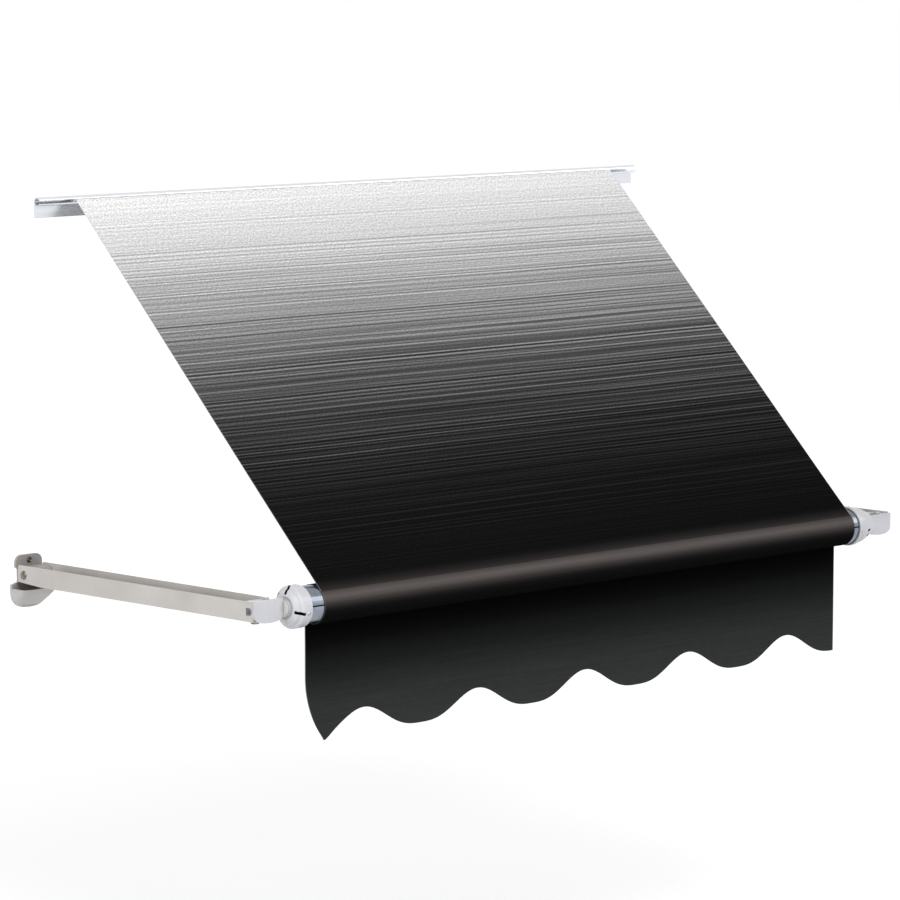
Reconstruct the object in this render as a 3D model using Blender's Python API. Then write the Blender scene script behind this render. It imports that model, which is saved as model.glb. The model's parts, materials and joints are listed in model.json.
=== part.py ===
"""A spring-roller window awning, extended, with its frame and without the wall it hangs on.

Metres, +Z up, +X along the wall, -Y away from it. The origin is the middle of the rail's back face.
Two arms hinge at wall brackets and carry a roller. The cloth runs from the rail over the roller, and a
scalloped valance hangs from it. Folding the arms up winds the cloth onto the roller.
"""

import math

import bmesh
import bpy
from mathutils import Matrix, Vector
from mathutils.geometry import tessellate_polygon

# Clearance between touching pieces, and between the cloth and the tube.
GAP = 0.0003
CLOTH_GAP = 0.0002

# How far a cutter reaches past what it cuts, and how deep joined solids sit in each other.
PAST = 0.010
JOIN = 0.001

# Rail
RAIL_BEYOND_CLOTH = 0.077
RAIL_HEIGHT = 0.0355
RAIL_PLATE = 0.002
CHANNEL_RADIUS = 0.0075
CHANNEL_WALL = 0.0014
MOUTH_TOP = math.radians(16)
MOUTH_BOTTOM = math.radians(-28)
RAIL_SCREWS = 6
RAIL_SCREW_DROP = 0.0085

# Where the roller and the arms are
PROJECTION = 0.6093
DROP = 0.6265
PIVOT_OUT = 0.0245

# Cloth
CLOTH = 0.00055
CANOPY_WIDTH = 1.336
CANOPY_START_OUT = 0.0190
CANOPY_START_DOWN = 0.0062
CLOTH_LAYERS = 2
VALANCE_DROP = 0.1985
SCALLOP_DEPTH = 0.043
SCALLOPS = 5
VALANCE_ANGLE = math.radians(-118)
CURL_OUT = 0.0435
CURL_WIDTH = 0.085
CURL_HEIGHT = 0.108

# Roller tube, with its three bead grooves
TUBE_RADIUS = 0.0325
TUBE_WALL = 0.0016
BARE = {-1: 0.0288, 1: 0.0150}
GROOVES = 3
GROOVE_ANGLE = math.radians(4)
GROOVE_MOUTH = 0.0024
GROOVE_POCKET = 0.0030
GROOVE_LIP = 0.0010
GROOVE_WALL = 0.0013
CANOPY_GROOVE = 1

# End caps
CAP_RADIUS = 0.036
CAP_SEAT = 0.0105
CAP_WALL = 0.0035
CAP_BOSS = 0.0115
CAP_DISC = {-1: 0.0195, 1: 0.0110}
CAP_SHOULDER = {-1: 0.0300, 1: 0.0345}
CAP_NOSE = {-1: 0.0195, 1: 0.0215}
CAP_BULGE = {-1: 2.2, 1: 1.6}
CAP_HUB = {-1: 0.0155, 1: 0.0185}
CAP_HUB_LENGTH = {-1: 0.0054, 1: 0.0015}
CAP_SLOTS = 3
CAP_SLOT_ANGLE = math.radians(-13)
CAP_SLOT_SPACING = math.radians(105)
CAP_SLOT_WIDTH = 0.0046
CAP_SLOT_START = {-1: 0.0155, 1: 0.0265}
CAP_SLOT_LENGTH = {-1: 0.0128, 1: 0.0080}
CAP_SLOT_FLOOR = 0.0225
CAP_HOLE_ANGLE = {-1: math.radians(142), 1: math.radians(-31)}
CAP_HOLE_START = {-1: 0.0125, 1: 0.0305}
CAP_FACE_HOLE_DISTANCE = 0.0312
CAP_HOLE_RADIUS = 0.0026
CAP_SCREW_INSET = 0.0076
CAP_SCREW_SINK = 0.0012
CAP_INNER_EDGE = 0.0008
CAP_OUTER_EDGE = 0.0015
CAP_STEP = 0.0022
CAP_RIB = 0.001
CAP_BUSH_START = 0.014

# Shaft parts at each end of the roller
SPINDLE_RADIUS = 0.004
BUSH_WALL = 0.0026
WASHER_RADIUS = 0.0150
WASHER_THICKNESS = 0.003
RUNNING_FIT = 0.0002
IDLE_SPINDLE_REACH = 0.020

# Return spring, inside the left end of the tube
SPRING_WIRE = 0.003
SPRING_SEAT_RADIUS = 0.0105
SPRING_SEAT_LENGTH = 0.030
SPRING_LENGTH = 0.150
SPRING_TURNS = 12
PLUG_LENGTH = 0.022
SPRING_INSET = 0.008

# Arms: channels that are open at the top
ARM_BEYOND_CLOTH = {-1: 0.129, 1: 0.136}
ARM_WIDTH = 0.0558
ARM_HEIGHT = 0.033
ARM_WALL = 0.002
ARM_END_GAP = 0.0093
ARM_END_ROUND = 0.004
ARM_TAPER = 0.0040
ARM_TAPER_LENGTH = 0.060
ARM_FLOOR_START = 0.052
INNER_FLANGE_CUT = 0.024
NOTCH_DEPTH = 0.003

# Arm heads: plugs in the front ends of the arms, which hold the spindles
HEAD_BEYOND_SHAFT = 0.0057
HEAD_PLATE = 0.005
HEAD_OVERHANG = 0.0062
HEAD_RISE = {-1: 0.0020, 1: -0.0020}
HEAD_SAG = {-1: 0.0035, 1: 0.0075}
HEAD_PLUG = 0.042
HEAD_CORNER = 0.0120
HEAD_RIB_WIDTH = 0.008
HEAD_RIB_OFFSET = 0.0025
HEAD_RIB_HEIGHT = 0.0035
HEAD_RIB_LENGTH = 0.006
HEAD_PLUG_DROP = 0.004
HEAD_POCKET_START = 0.008
HEAD_POCKET_LENGTH = 0.016
HEAD_POCKET_WIDTH = 0.028
HEAD_POCKET_DEPTH = 0.010
WINDOW_BEHIND_SHAFT = 0.0097
WINDOW_LENGTH = 0.0140
WINDOW_HEIGHT = 0.0126
CLIP_DEPTH = 0.006
BUTTON_BEHIND_SHAFT = 0.0255
BUTTON_RADIUS = 0.0085

# Wall brackets
BRACKET_PLATE = 0.005
TAB_HALF_WIDTH = 0.029
TAB_BOTTOM = 0.012
TAB_TOP = 0.032
TAB_ROUND = 0.013
WAIST_HALF_WIDTH = 0.0235
LUG_RADIUS = 0.0130
CUP_HALF_WIDTH = 0.0386
CUP_OUT = 0.0405
CUP_TOP = -0.0245
CUP_DEPTH = 0.035
CUP_CORNER = 0.010
CUP_WALL = 0.003
CUP_LEVELS = (0, 0.3, 0.5, 0.66, 0.8, 0.9, 0.97)
CUP_ROUNDNESS = 2.8
CUP_SLANT = 1.05
CUP_PLATE_TOP = -0.0180
TAB_SCREW_RISE = 0.0225
CUP_SCREW_DROP = 0.0400
PLATE_SLOPE = 0.004

# Pivot pins
PIN_RADIUS = 0.0045
PIN_HEAD_RADIUS = 0.0077
PIN_HEAD = 0.0022
PIN_BUSH_WALL = 0.0018
CLIP_RADIUS = 0.0070
CLIP_THICKNESS = 0.0012
CLIP_GROOVE = 0.0008
PIN_TAIL = 0.002

# Screws: head radius, head height, shank radius, length below the head, and how many shank radii the
# point is long
RAIL_SCREW = (0.0040, 0.0022, 0.0020, 0.022)
BRACKET_SCREW = (0.0053, 0.0028, 0.0024, 0.030)
CAP_SCREW = (0.0028, 0.0016, 0.0015, 0.0075)
BUTTON_HEIGHT = 0.0075
BUTTON_SHANK = 0.0025
BUTTON_REACH = 0.012
SCREW_POINT = 1.6

# Worked out from the sizes above
RAIL_TOP = RAIL_HEIGHT / 2
RAIL_LENGTH = CANOPY_WIDTH + 2 * RAIL_BEYOND_CLOTH
CHANNEL_Z = RAIL_TOP - CHANNEL_RADIUS
CHANNEL_BORE = CHANNEL_RADIUS - CHANNEL_WALL
HEM_RADIUS = CHANNEL_BORE - GAP
BEAD_RADIUS = HEM_RADIUS - CLOTH - GAP
ROLL_RADIUS = TUBE_RADIUS + CLOTH_GAP + CLOTH_LAYERS * CLOTH
TUBE_BORE = TUBE_RADIUS - TUBE_WALL
POCKET_CENTRE = TUBE_RADIUS - GROOVE_LIP - GROOVE_POCKET
BUSH_BORE = SPINDLE_RADIUS + RUNNING_FIT
BUSH_RADIUS = BUSH_BORE + BUSH_WALL
CAP_BORE = BUSH_RADIUS + GAP
LUG_BORE = PIN_RADIUS + RUNNING_FIT + PIN_BUSH_WALL + GAP
HEAD_FRONT = PROJECTION + HEAD_BEYOND_SHAFT
WINDOW_OUT = PROJECTION - WINDOW_BEHIND_SHAFT
BUTTON_OUT = PROJECTION - BUTTON_BEHIND_SHAFT
ARM_FRONT = HEAD_FRONT - HEAD_PLATE - GAP
CAP_START = {side: CANOPY_WIDTH / 2 + BARE[side] for side in (-1, 1)}
ARM_OUTER = {side: CANOPY_WIDTH / 2 + ARM_BEYOND_CLOTH[side] for side in (-1, 1)}
ARM_INNER = {side: ARM_OUTER[side] - ARM_WIDTH for side in (-1, 1)}
ARM_MIDDLE = {side: ARM_OUTER[side] - ARM_WIDTH / 2 for side in (-1, 1)}
HEAD_INNER = {side: ARM_OUTER[side] - ARM_WIDTH - HEAD_OVERHANG for side in (-1, 1)}
CAP_LENGTH = {
    side: HEAD_INNER[side] - CAP_START[side] - WASHER_THICKNESS - 2 * GAP for side in (-1, 1)
}
SIDE_NAME = {-1: "left", 1: "right"}

COLOURS = {
    "rail_aluminium": ((0.78, 0.79, 0.81), 0.30, 1.0),
    "tube_aluminium": ((0.70, 0.72, 0.76), 0.18, 1.0),
    "arm_paint": ((0.62, 0.59, 0.55), 0.45, 0.0),
    "white_plastic": ((0.78, 0.77, 0.74), 0.40, 0.0),
    "bracket_paint": ((0.55, 0.55, 0.53), 0.50, 0.0),
    "steel": ((0.42, 0.41, 0.39), 0.35, 1.0),
    "zinc_screw": ((0.35, 0.34, 0.32), 0.35, 1.0),
    "nylon": ((0.70, 0.69, 0.64), 0.55, 0.0),
    "bead_plastic": ((0.60, 0.60, 0.60), 0.50, 0.0),
    "canopy_cloth": ((0.18, 0.18, 0.18), 0.75, 0.0),
    "valance_cloth": ((0.02, 0.02, 0.02), 0.75, 0.0),
}


def clear_scene():
    for obj in list(bpy.data.objects):
        bpy.data.objects.remove(obj, do_unlink=True)


def make_materials():
    looks = {}
    for name, (colour, roughness, metallic) in COLOURS.items():
        look = bpy.data.materials.new(name)
        look.use_nodes = True
        shader = look.node_tree.nodes["Principled BSDF"]
        shader.inputs["Base Color"].default_value = (*colour, 1.0)
        shader.inputs["Roughness"].default_value = roughness
        shader.inputs["Metallic"].default_value = metallic
        look.diffuse_color = (*colour, 1.0)
        looks[name] = look
    return looks


def make_axis(name, place):
    axis = bpy.data.objects.new(name, None)
    axis.location = place
    axis.empty_display_size = 0.05
    bpy.context.collection.objects.link(axis)
    return axis


def finish_mesh(name, shape, look, parent, place=(0, 0, 0)):
    """The bmesh as a shaded, named object, in its parent's frame."""
    bmesh.ops.recalc_face_normals(shape, faces=shape.faces)
    mesh = bpy.data.meshes.new(name)
    shape.to_mesh(mesh)
    shape.free()
    mesh.shade_smooth()
    mesh.set_sharp_from_angle(angle=math.radians(35))
    obj = bpy.data.objects.new(name, mesh)
    bpy.context.collection.objects.link(obj)
    obj.parent = parent
    obj.location = place
    if look is None:
        obj.hide_render = True
        obj.display_type = "WIRE"
    else:
        mesh.materials.append(look)
    return obj


def on_axis(axis, point, along):
    """A 2-D section point, put on the plane across this axis."""
    first, second = point
    return {"X": (along, first, second), "Y": (first, along, second), "Z": (first, second, along)}[axis]


def prism(name, loops, axis, low, high, look, parent=None, place=(0, 0, 0)):
    """A section, with holes after its outer loop, drawn out from low to high along an axis."""
    shape = bmesh.new()
    flat = [[Vector((u, v, 0)) for u, v in loop] for loop in loops]
    triangles = tessellate_polygon(flat)
    ends = []
    for along in (low, high):
        ends.append([[shape.verts.new(on_axis(axis, point, along)) for point in loop] for loop in loops])
    for first, second in zip(*ends):
        count = len(first)
        for i in range(count):
            j = (i + 1) % count
            shape.faces.new((first[i], first[j], second[j], second[i]))
    for end in ends:
        corners = [vertex for loop in end for vertex in loop]
        for a, b, c in triangles:
            shape.faces.new((corners[a], corners[b], corners[c]))
    return finish_mesh(name, shape, look, parent, place)


def turned(name, profile, steps, look, parent=None, place=(0, 0, 0), axis=(1, 0, 0)):
    """A profile of (distance along, radius), closed or with its ends on the axis, turned round the axis."""
    shape = bmesh.new()
    rings = []
    for along, radius in profile:
        if radius == 0:
            rings.append([shape.verts.new((along, 0, 0))] * steps)
            continue
        angles = [2 * math.pi * k / steps for k in range(steps)]
        rings.append([shape.verts.new((along, radius * math.cos(a), radius * math.sin(a))) for a in angles])
    closed = all(radius > 0 for _, radius in profile)
    pairs = list(zip(rings, rings[1:]))
    if closed:
        pairs.append((rings[-1], rings[0]))
    for first, second in pairs:
        for k in range(steps):
            n = (k + 1) % steps
            corners = []
            for vertex in (first[k], first[n], second[n], second[k]):
                if vertex not in corners:
                    corners.append(vertex)
            shape.faces.new(corners)
    turn = Vector((1, 0, 0)).rotation_difference(Vector(axis)).to_matrix().to_4x4()
    bmesh.ops.transform(shape, matrix=turn, verts=shape.verts)
    return finish_mesh(name, shape, look, parent, place)


def combine(target, others, operation):
    """Boolean modifiers that cut the others from the target, or join them to it."""
    for other in others:
        modifier = target.modifiers.new(other.name, "BOOLEAN")
        modifier.operation = operation
        modifier.object = other
        modifier.solver = "EXACT"


def drill(name, target, place, axis, radius, length, parent, steps=16):
    """A round hole through the target, centred on this place."""
    profile = [(-length / 2, 0), (-length / 2, radius), (length / 2, radius), (length / 2, 0)]
    cutter = turned(name, profile, steps, None, parent, place, axis)
    combine(target, [cutter], "DIFFERENCE")


def circle(radius, steps, centre=(0, 0)):
    angles = [2 * math.pi * k / steps for k in range(steps)]
    return [(centre[0] + radius * math.cos(a), centre[1] + radius * math.sin(a)) for a in angles]


def arc(centre, radius, start, end, steps):
    """Points on an arc from start to end, both included."""
    angles = [start + (end - start) * k / steps for k in range(steps + 1)]
    return [(centre[0] + radius * math.cos(a), centre[1] + radius * math.sin(a)) for a in angles]


def outward(points):
    """Section points given as (distance from the wall, height), turned into (y, z)."""
    return [(-out, height) for out, height in points]


def screw(name, size, place, axis, look, parent=None, steps=10):
    """A pan-head screw with a round drive recess. Its head seats at this place, and axis points in."""
    head, height, shank, length = size
    recess = head * 0.42
    profile = [
        (-height * 0.45, 0),
        (-height, recess),
        (-height * 0.85, head * 0.72),
        (-height * 0.35, head * 0.97),
        (0, head),
        (0, shank),
        (length - SCREW_POINT * shank, shank),
        (length, 0),
    ]
    return turned(name, profile, steps, look, parent, place, axis)


def channel_section():
    """The rail: a flat plate with a round cloth channel along its top, as (out, height)."""
    centre = (CHANNEL_RADIUS, CHANNEL_Z)
    plate_meets = -math.acos((RAIL_PLATE - CHANNEL_RADIUS) / CHANNEL_RADIUS)
    points = [(0, -RAIL_HEIGHT / 2)]
    points += arc(centre, CHANNEL_RADIUS, math.pi, MOUTH_TOP, 12)
    points += arc(centre, CHANNEL_BORE, MOUTH_TOP, MOUTH_BOTTOM + 2 * math.pi, 20)
    points += arc(centre, CHANNEL_RADIUS, MOUTH_BOTTOM, plate_meets, 9)
    points.append((RAIL_PLATE, -RAIL_HEIGHT / 2))
    return outward(points)


def build_rail(looks):
    half = RAIL_LENGTH / 2
    pitch = RAIL_LENGTH / (RAIL_SCREWS + 0.2)
    rail = prism("awning_rail", [channel_section()], "X", -half, half, looks["rail_aluminium"])
    for k in range(RAIL_SCREWS):
        x = (k - (RAIL_SCREWS - 1) / 2) * pitch
        hole = RAIL_SCREW[2] + GAP
        middle = (x, -RAIL_PLATE / 2, -RAIL_SCREW_DROP)
        drill(f"rail_hole_{k + 1}", rail, middle, (0, 1, 0), hole, 3 * RAIL_PLATE, None, 12)
        seat = (x, -RAIL_PLATE - GAP, -RAIL_SCREW_DROP)
        screw(f"rail_screw_{k + 1}", RAIL_SCREW, seat, (0, 1, 0), looks["zinc_screw"])


def canopy_line():
    """Start of the straight cloth, the roller's centre, and the cloth's slope, all as (out, height)."""
    start = Vector((CANOPY_START_OUT, RAIL_TOP - CANOPY_START_DOWN))
    centre = Vector((PROJECTION, -DROP))
    radius = ROLL_RADIUS - CLOTH / 2
    reach = centre - start
    slope = math.atan2(reach.y, reach.x) + math.asin(radius / reach.length)
    return start, centre, slope


def build_canopy(looks):
    """One sheet: a hem round the head bead, a tail through the rail's mouth, and the slope to the roller."""
    start, centre, slope = canopy_line()
    channel = Vector((CHANNEL_RADIUS, CHANNEL_Z))
    tail = start - channel
    tail_angle = math.atan2(tail.y, tail.x)
    spread = math.asin(CLOTH / 2 / HEM_RADIUS)
    across = Vector((-math.sin(slope), math.cos(slope))) * CLOTH / 2
    bend = (tail_angle + slope) / 2
    mitre = Vector((-math.sin(bend), math.cos(bend))) * CLOTH / 2 / math.cos(tail_angle - bend)
    along = Vector((math.cos(slope), math.sin(slope)))
    radius = ROLL_RADIUS - CLOTH / 2
    touch = centre + across.normalized() * radius - along * GAP
    outline = arc(channel, HEM_RADIUS, tail_angle + spread, tail_angle - spread + 2 * math.pi, 24)
    outline += [start - mitre, touch - across, touch + across, start + mitre]
    hem = circle(BEAD_RADIUS + GAP, 16, channel)
    half = CANOPY_WIDTH / 2
    prism("canopy", [outward(outline), outward(hem)], "X", -half, half, looks["canopy_cloth"])
    bead = outward(circle(BEAD_RADIUS, 16, channel))
    prism("head_bead", [bead], "X", -half, half, looks["bead_plastic"])


def groove_loops(clearance=0.0):
    """The tube's outer loop with its open grooves, and the loop of its bore, as (out, height)."""
    outer = []
    inner = []
    mouth = GROOVE_MOUTH / 2
    bore = TUBE_BORE - clearance
    wall = GROOVE_POCKET + GROOVE_WALL + clearance
    meet = (bore**2 - wall**2 + POCKET_CENTRE**2) / (2 * POCKET_CENTRE)
    meet_side = math.sqrt(bore**2 - meet**2)
    mouth_angle = math.asin(mouth / TUBE_RADIUS)
    pocket_angle = math.asin(mouth / GROOVE_POCKET)
    bulge_angle = math.atan2(meet_side, meet - POCKET_CENTRE)
    meet_angle = math.atan2(meet_side, meet)
    turn = 2 * math.pi / GROOVES
    for k in range(GROOVES):
        angle = GROOVE_ANGLE + k * turn
        pocket = (POCKET_CENTRE * math.cos(angle), POCKET_CENTRE * math.sin(angle))
        outer += arc(pocket, GROOVE_POCKET, angle - pocket_angle, angle + pocket_angle - 2 * math.pi, 10)
        outer += arc((0, 0), TUBE_RADIUS, angle + mouth_angle, angle + turn - mouth_angle, 18)
        inner += arc(pocket, wall, angle - bulge_angle, angle + bulge_angle - 2 * math.pi, 8)
        inner += arc((0, 0), bore, angle + meet_angle, angle + turn - meet_angle, 16)[1:-1]
    return outer, inner


def cap_slot_angles():
    return [CAP_SLOT_ANGLE + k * CAP_SLOT_SPACING for k in range(CAP_SLOTS)]


def radial(angle, radius, x):
    """A point round the roller's axis, at this angle up from straight out."""
    return (x, -radius * math.cos(angle), radius * math.sin(angle))


def build_tube(looks, roller):
    low = -(CAP_START[-1] + CAP_SEAT - GAP)
    high = CAP_START[1] + CAP_SEAT - GAP
    outer, inner = groove_loops()
    loops = [outward(outer), outward(inner)]
    tube = prism("roller_tube", loops, "X", low, high, looks["tube_aluminium"], roller)
    hole = CAP_SCREW[2] + GAP
    for side in (-1, 1):
        for k, angle in enumerate(cap_slot_angles()):
            middle = radial(angle, TUBE_RADIUS, side * (CAP_START[side] + CAP_SCREW_INSET))
            name = f"{SIDE_NAME[side]}_tube_hole_{k + 1}"
            drill(name, tube, middle, radial(angle, 1, 0), hole, 4 * TUBE_WALL, roller, 8)


def build_roll(looks, roller):
    """The last turns of cloth on the tube. Their outer edge meets the end of the canopy's slope."""
    slope = canopy_line()[2]
    touch = slope + math.pi / 2
    under = ROLL_RADIUS - CLOTH - 0.8 * GAP
    turns = []
    steps = 54
    for k in range(steps + 1):
        share = k / steps
        radius = ROLL_RADIUS + (under - ROLL_RADIUS) * share**6
        angle = touch - 2 * math.pi * share
        turns.append((radius * math.cos(angle), radius * math.sin(angle)))
    inner = circle(TUBE_RADIUS + CLOTH_GAP, 48)
    half = CANOPY_WIDTH / 2
    loops = [outward(turns), outward(inner)]
    prism("cloth_turns", loops, "X", -half, half, looks["valance_cloth"], roller)
    angle = GROOVE_ANGLE + CANOPY_GROOVE * 2 * math.pi / GROOVES
    pocket = (POCKET_CENTRE * math.cos(angle), POCKET_CENTRE * math.sin(angle))
    bead = outward(circle(GROOVE_POCKET - GAP, 12, pocket))
    prism("canopy_bead", [bead], "X", -half, half, looks["bead_plastic"], roller)


def scallop(x):
    """Height of the valance's lower edge above its lowest points."""
    phase = 2 * math.pi * SCALLOPS * (x / CANOPY_WIDTH + 0.5)
    return SCALLOP_DEPTH * ((1 - math.cos(phase)) / 2) ** 1.5


def curl(x, depth):
    """How far out and up the lower left corner of the valance lifts, with the cloth's length kept."""
    from_edge = (x + CANOPY_WIDTH / 2) / CURL_WIDTH
    run = depth - (VALANCE_DROP - CURL_HEIGHT)
    if from_edge >= 1 or run <= 0:
        return 0.0, 0.0
    bend = 2 * CURL_OUT * (1 - from_edge) ** 2 / CURL_HEIGHT**2
    lean = bend * run
    rise = run - (lean * math.sqrt(1 - lean**2) + math.asin(lean)) / (2 * bend)
    return bend * run**2 / 2, rise


def build_valance(looks, arm):
    """A scalloped strip that hangs from the roll, in the arm's frame."""
    shape = bmesh.new()
    columns, rows = 60, 6
    top_out = PROJECTION + (ROLL_RADIUS + GAP) * math.cos(VALANCE_ANGLE) - PIVOT_OUT
    top = (ROLL_RADIUS + GAP) * math.sin(VALANCE_ANGLE)
    bottom = -ROLL_RADIUS - VALANCE_DROP
    grid = []
    for i in range(columns + 1):
        x = CANOPY_WIDTH * (i / columns - 0.5)
        low = bottom + scallop(x)
        column = []
        for j in range(rows + 1):
            z = top + (low - top) * j / rows
            lift, rise = curl(x, -ROLL_RADIUS - z)
            out = top_out - CLOTH + lift
            column.append([shape.verts.new((x, -out - side * CLOTH, z + rise)) for side in (0, 1)])
        grid.append(column)
    for i in range(columns):
        for j in range(rows):
            for side in (0, 1):
                a, b = grid[i][j][side], grid[i + 1][j][side]
                c, d = grid[i + 1][j + 1][side], grid[i][j + 1][side]
                shape.faces.new((a, b, c, d))
    rim = [grid[i][0] for i in range(columns + 1)]
    rim += [grid[columns][j] for j in range(1, rows + 1)]
    rim += [grid[i][rows] for i in range(columns - 1, -1, -1)]
    rim += [grid[0][j] for j in range(rows - 1, 0, -1)]
    for first, second in zip(rim, rim[1:] + rim[:1]):
        shape.faces.new((first[0], second[0], second[1], first[1]))
    finish_mesh("valance", shape, looks["valance_cloth"], arm)


def cap_profile(side):
    """Section of an end cap, as (distance out from its inner edge, radius)."""
    length = CAP_LENGTH[side]
    disc = CAP_DISC[side]
    shoulder = CAP_SHOULDER[side]
    seat = TUBE_RADIUS + GAP
    dome_start = disc + CAP_STEP
    dome_end = length - CAP_HUB_LENGTH[side]
    dome = []
    inside = []
    steps = 5
    for k in range(steps + 1):
        share = k / steps
        along = dome_start + (dome_end - dome_start) * share
        radius = shoulder + (CAP_NOSE[side] - shoulder) * share ** CAP_BULGE[side]
        dome.append((along, radius))
        inside.append((along - CAP_WALL, max(radius - CAP_WALL, CAP_BOSS + CAP_RIB)))
    roof = dome_end - CAP_WALL
    hollow = [point for point in reversed(inside) if CAP_SEAT < point[0] < roof - CAP_RIB]
    rim = min(shoulder, CAP_RADIUS - CAP_WALL) - CAP_WALL
    return [
        (0, seat),
        (0, CAP_RADIUS - CAP_INNER_EDGE),
        (CAP_INNER_EDGE, CAP_RADIUS),
        (disc - CAP_OUTER_EDGE, CAP_RADIUS),
        (disc, CAP_RADIUS - CAP_OUTER_EDGE),
        *dome,
        (dome_end, CAP_HUB[side]),
        (length, CAP_HUB[side]),
        (length, CAP_BORE),
        (CAP_BUSH_START, CAP_BORE),
        (CAP_BUSH_START, CAP_BOSS),
        (roof, CAP_BOSS),
        (roof, CAP_BOSS + CAP_RIB),
        *hollow,
        (CAP_SEAT, rim),
        (CAP_SEAT, seat),
    ]


def cut_cap_slots(cap, roller, side):
    """The slots through an end cap's wall."""
    name = SIDE_NAME[side]
    start = CAP_START[side] + CAP_SLOT_START[side]
    ends = sorted((side * start, side * (start + CAP_SLOT_LENGTH[side])))
    half = CAP_SLOT_WIDTH / 2
    outer = CAP_RADIUS + CAP_WALL
    corners = [(CAP_SLOT_FLOOR, -half), (outer, -half), (outer, half), (CAP_SLOT_FLOOR, half)]
    for k, angle in enumerate(cap_slot_angles()):
        turn = Matrix.Rotation(angle, 2)
        section = outward([turn @ Vector(corner) for corner in corners])
        cutter = prism(f"{name}_cap_slot_{k + 1}", [section], "X", *ends, None, roller)
        combine(cap, [cutter], "DIFFERENCE")


def cut_cap_hole(cap, roller, side):
    """A round hole, through the face of the left cap and through the side of the right one."""
    angle = CAP_HOLE_ANGLE[side]
    x = side * (CAP_START[side] + CAP_HOLE_START[side])
    if side < 0:
        length = CAP_LENGTH[side]
        place = radial(angle, CAP_FACE_HOLE_DISTANCE, x - length / 2)
        axis = (1, 0, 0)
    else:
        length = CAP_RADIUS + CAP_WALL - CAP_SLOT_FLOOR
        place = radial(angle, CAP_SLOT_FLOOR + length / 2, x)
        axis = radial(angle, 1, 0)
    drill(f"{SIDE_NAME[side]}_cap_hole", cap, place, axis, CAP_HOLE_RADIUS, length, roller, 10)


def build_cap(looks, roller, side):
    """An end cap, its sunk screws into the tube and the bush that it turns on."""
    name = SIDE_NAME[side]
    axis = (side, 0, 0)
    place = (side * CAP_START[side], 0, 0)
    cap = turned(f"{name}_end_cap", cap_profile(side), 32, looks["white_plastic"], roller, place, axis)
    cut_cap_slots(cap, roller, side)
    cut_cap_hole(cap, roller, side)
    head, _, shank, _ = CAP_SCREW
    x = side * (CAP_START[side] + CAP_SCREW_INSET)
    flat = CAP_RADIUS - CAP_SCREW_SINK
    for k, angle in enumerate(cap_slot_angles()):
        inwards = radial(angle, -1, 0)
        middle = radial(angle, CAP_RADIUS - CAP_WALL / 2, x)
        drill(f"{name}_cap_hole_{k + 1}", cap, middle, inwards, shank + GAP, 2 * CAP_WALL, roller, 12)
        place = radial(angle, flat + 2 * CAP_WALL, x)
        drill(f"{name}_cap_spot_{k + 1}", cap, place, inwards, head + GAP, 4 * CAP_WALL, roller, 12)
        seat = radial(angle, flat + GAP, x)
        screw(f"{name}_cap_screw_{k + 1}", CAP_SCREW, seat, inwards, looks["zinc_screw"], roller, 8)
    length = CAP_LENGTH[side] - CAP_BUSH_START
    bush = [(0, BUSH_BORE), (0, BUSH_RADIUS), (length, BUSH_RADIUS), (length, BUSH_BORE)]
    place = (side * (CAP_START[side] + CAP_BUSH_START), 0, 0)
    turned(f"{name}_roller_bush", bush, 20, looks["nylon"], roller, place, axis)


def build_washer(looks, arm, side):
    """The thrust washer between an end cap and its arm head, in the arm's frame."""
    place = (side * (HEAD_INNER[side] - GAP), -(PROJECTION - PIVOT_OUT), 0)
    ring = [(0, BUSH_BORE), (0, WASHER_RADIUS)]
    ring += [(WASHER_THICKNESS, WASHER_RADIUS), (WASHER_THICKNESS, BUSH_BORE)]
    turned(f"{SIDE_NAME[side]}_thrust_washer", ring, 20, looks["nylon"], arm, place, (-side, 0, 0))


def spindle_start(side):
    """Distance from the middle of the rail to a spindle's outer end, which stops at the latch clip."""
    return ARM_OUTER[side] - ARM_WALL / 2 - CLIP_DEPTH - 2 * GAP


def spring_end():
    """Distance from the middle of the rail to the spring's outer end."""
    return CAP_START[-1] + SPRING_INSET


def build_spindle(looks, arm, side):
    """A fixed shaft from the arm head into the roller. The left one carries the spring's seat."""
    start = spindle_start(side)
    place = (side * start, -(PROJECTION - PIVOT_OUT), 0)
    if side == 1:
        end = start - CAP_START[side] - CAP_SEAT + IDLE_SPINDLE_REACH
        profile = [(0, 0), (0, SPINDLE_RADIUS), (end, SPINDLE_RADIUS), (end, 0)]
    else:
        seat = start - spring_end()
        end = seat + SPRING_SEAT_LENGTH
        profile = [
            (0, 0),
            (0, SPINDLE_RADIUS),
            (seat, SPINDLE_RADIUS),
            (seat, SPRING_SEAT_RADIUS),
            (end, SPRING_SEAT_RADIUS),
            (end, 0),
        ]
    turned(f"{SIDE_NAME[side]}_spindle", profile, 20, looks["steel"], arm, place, (-side, 0, 0))


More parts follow.
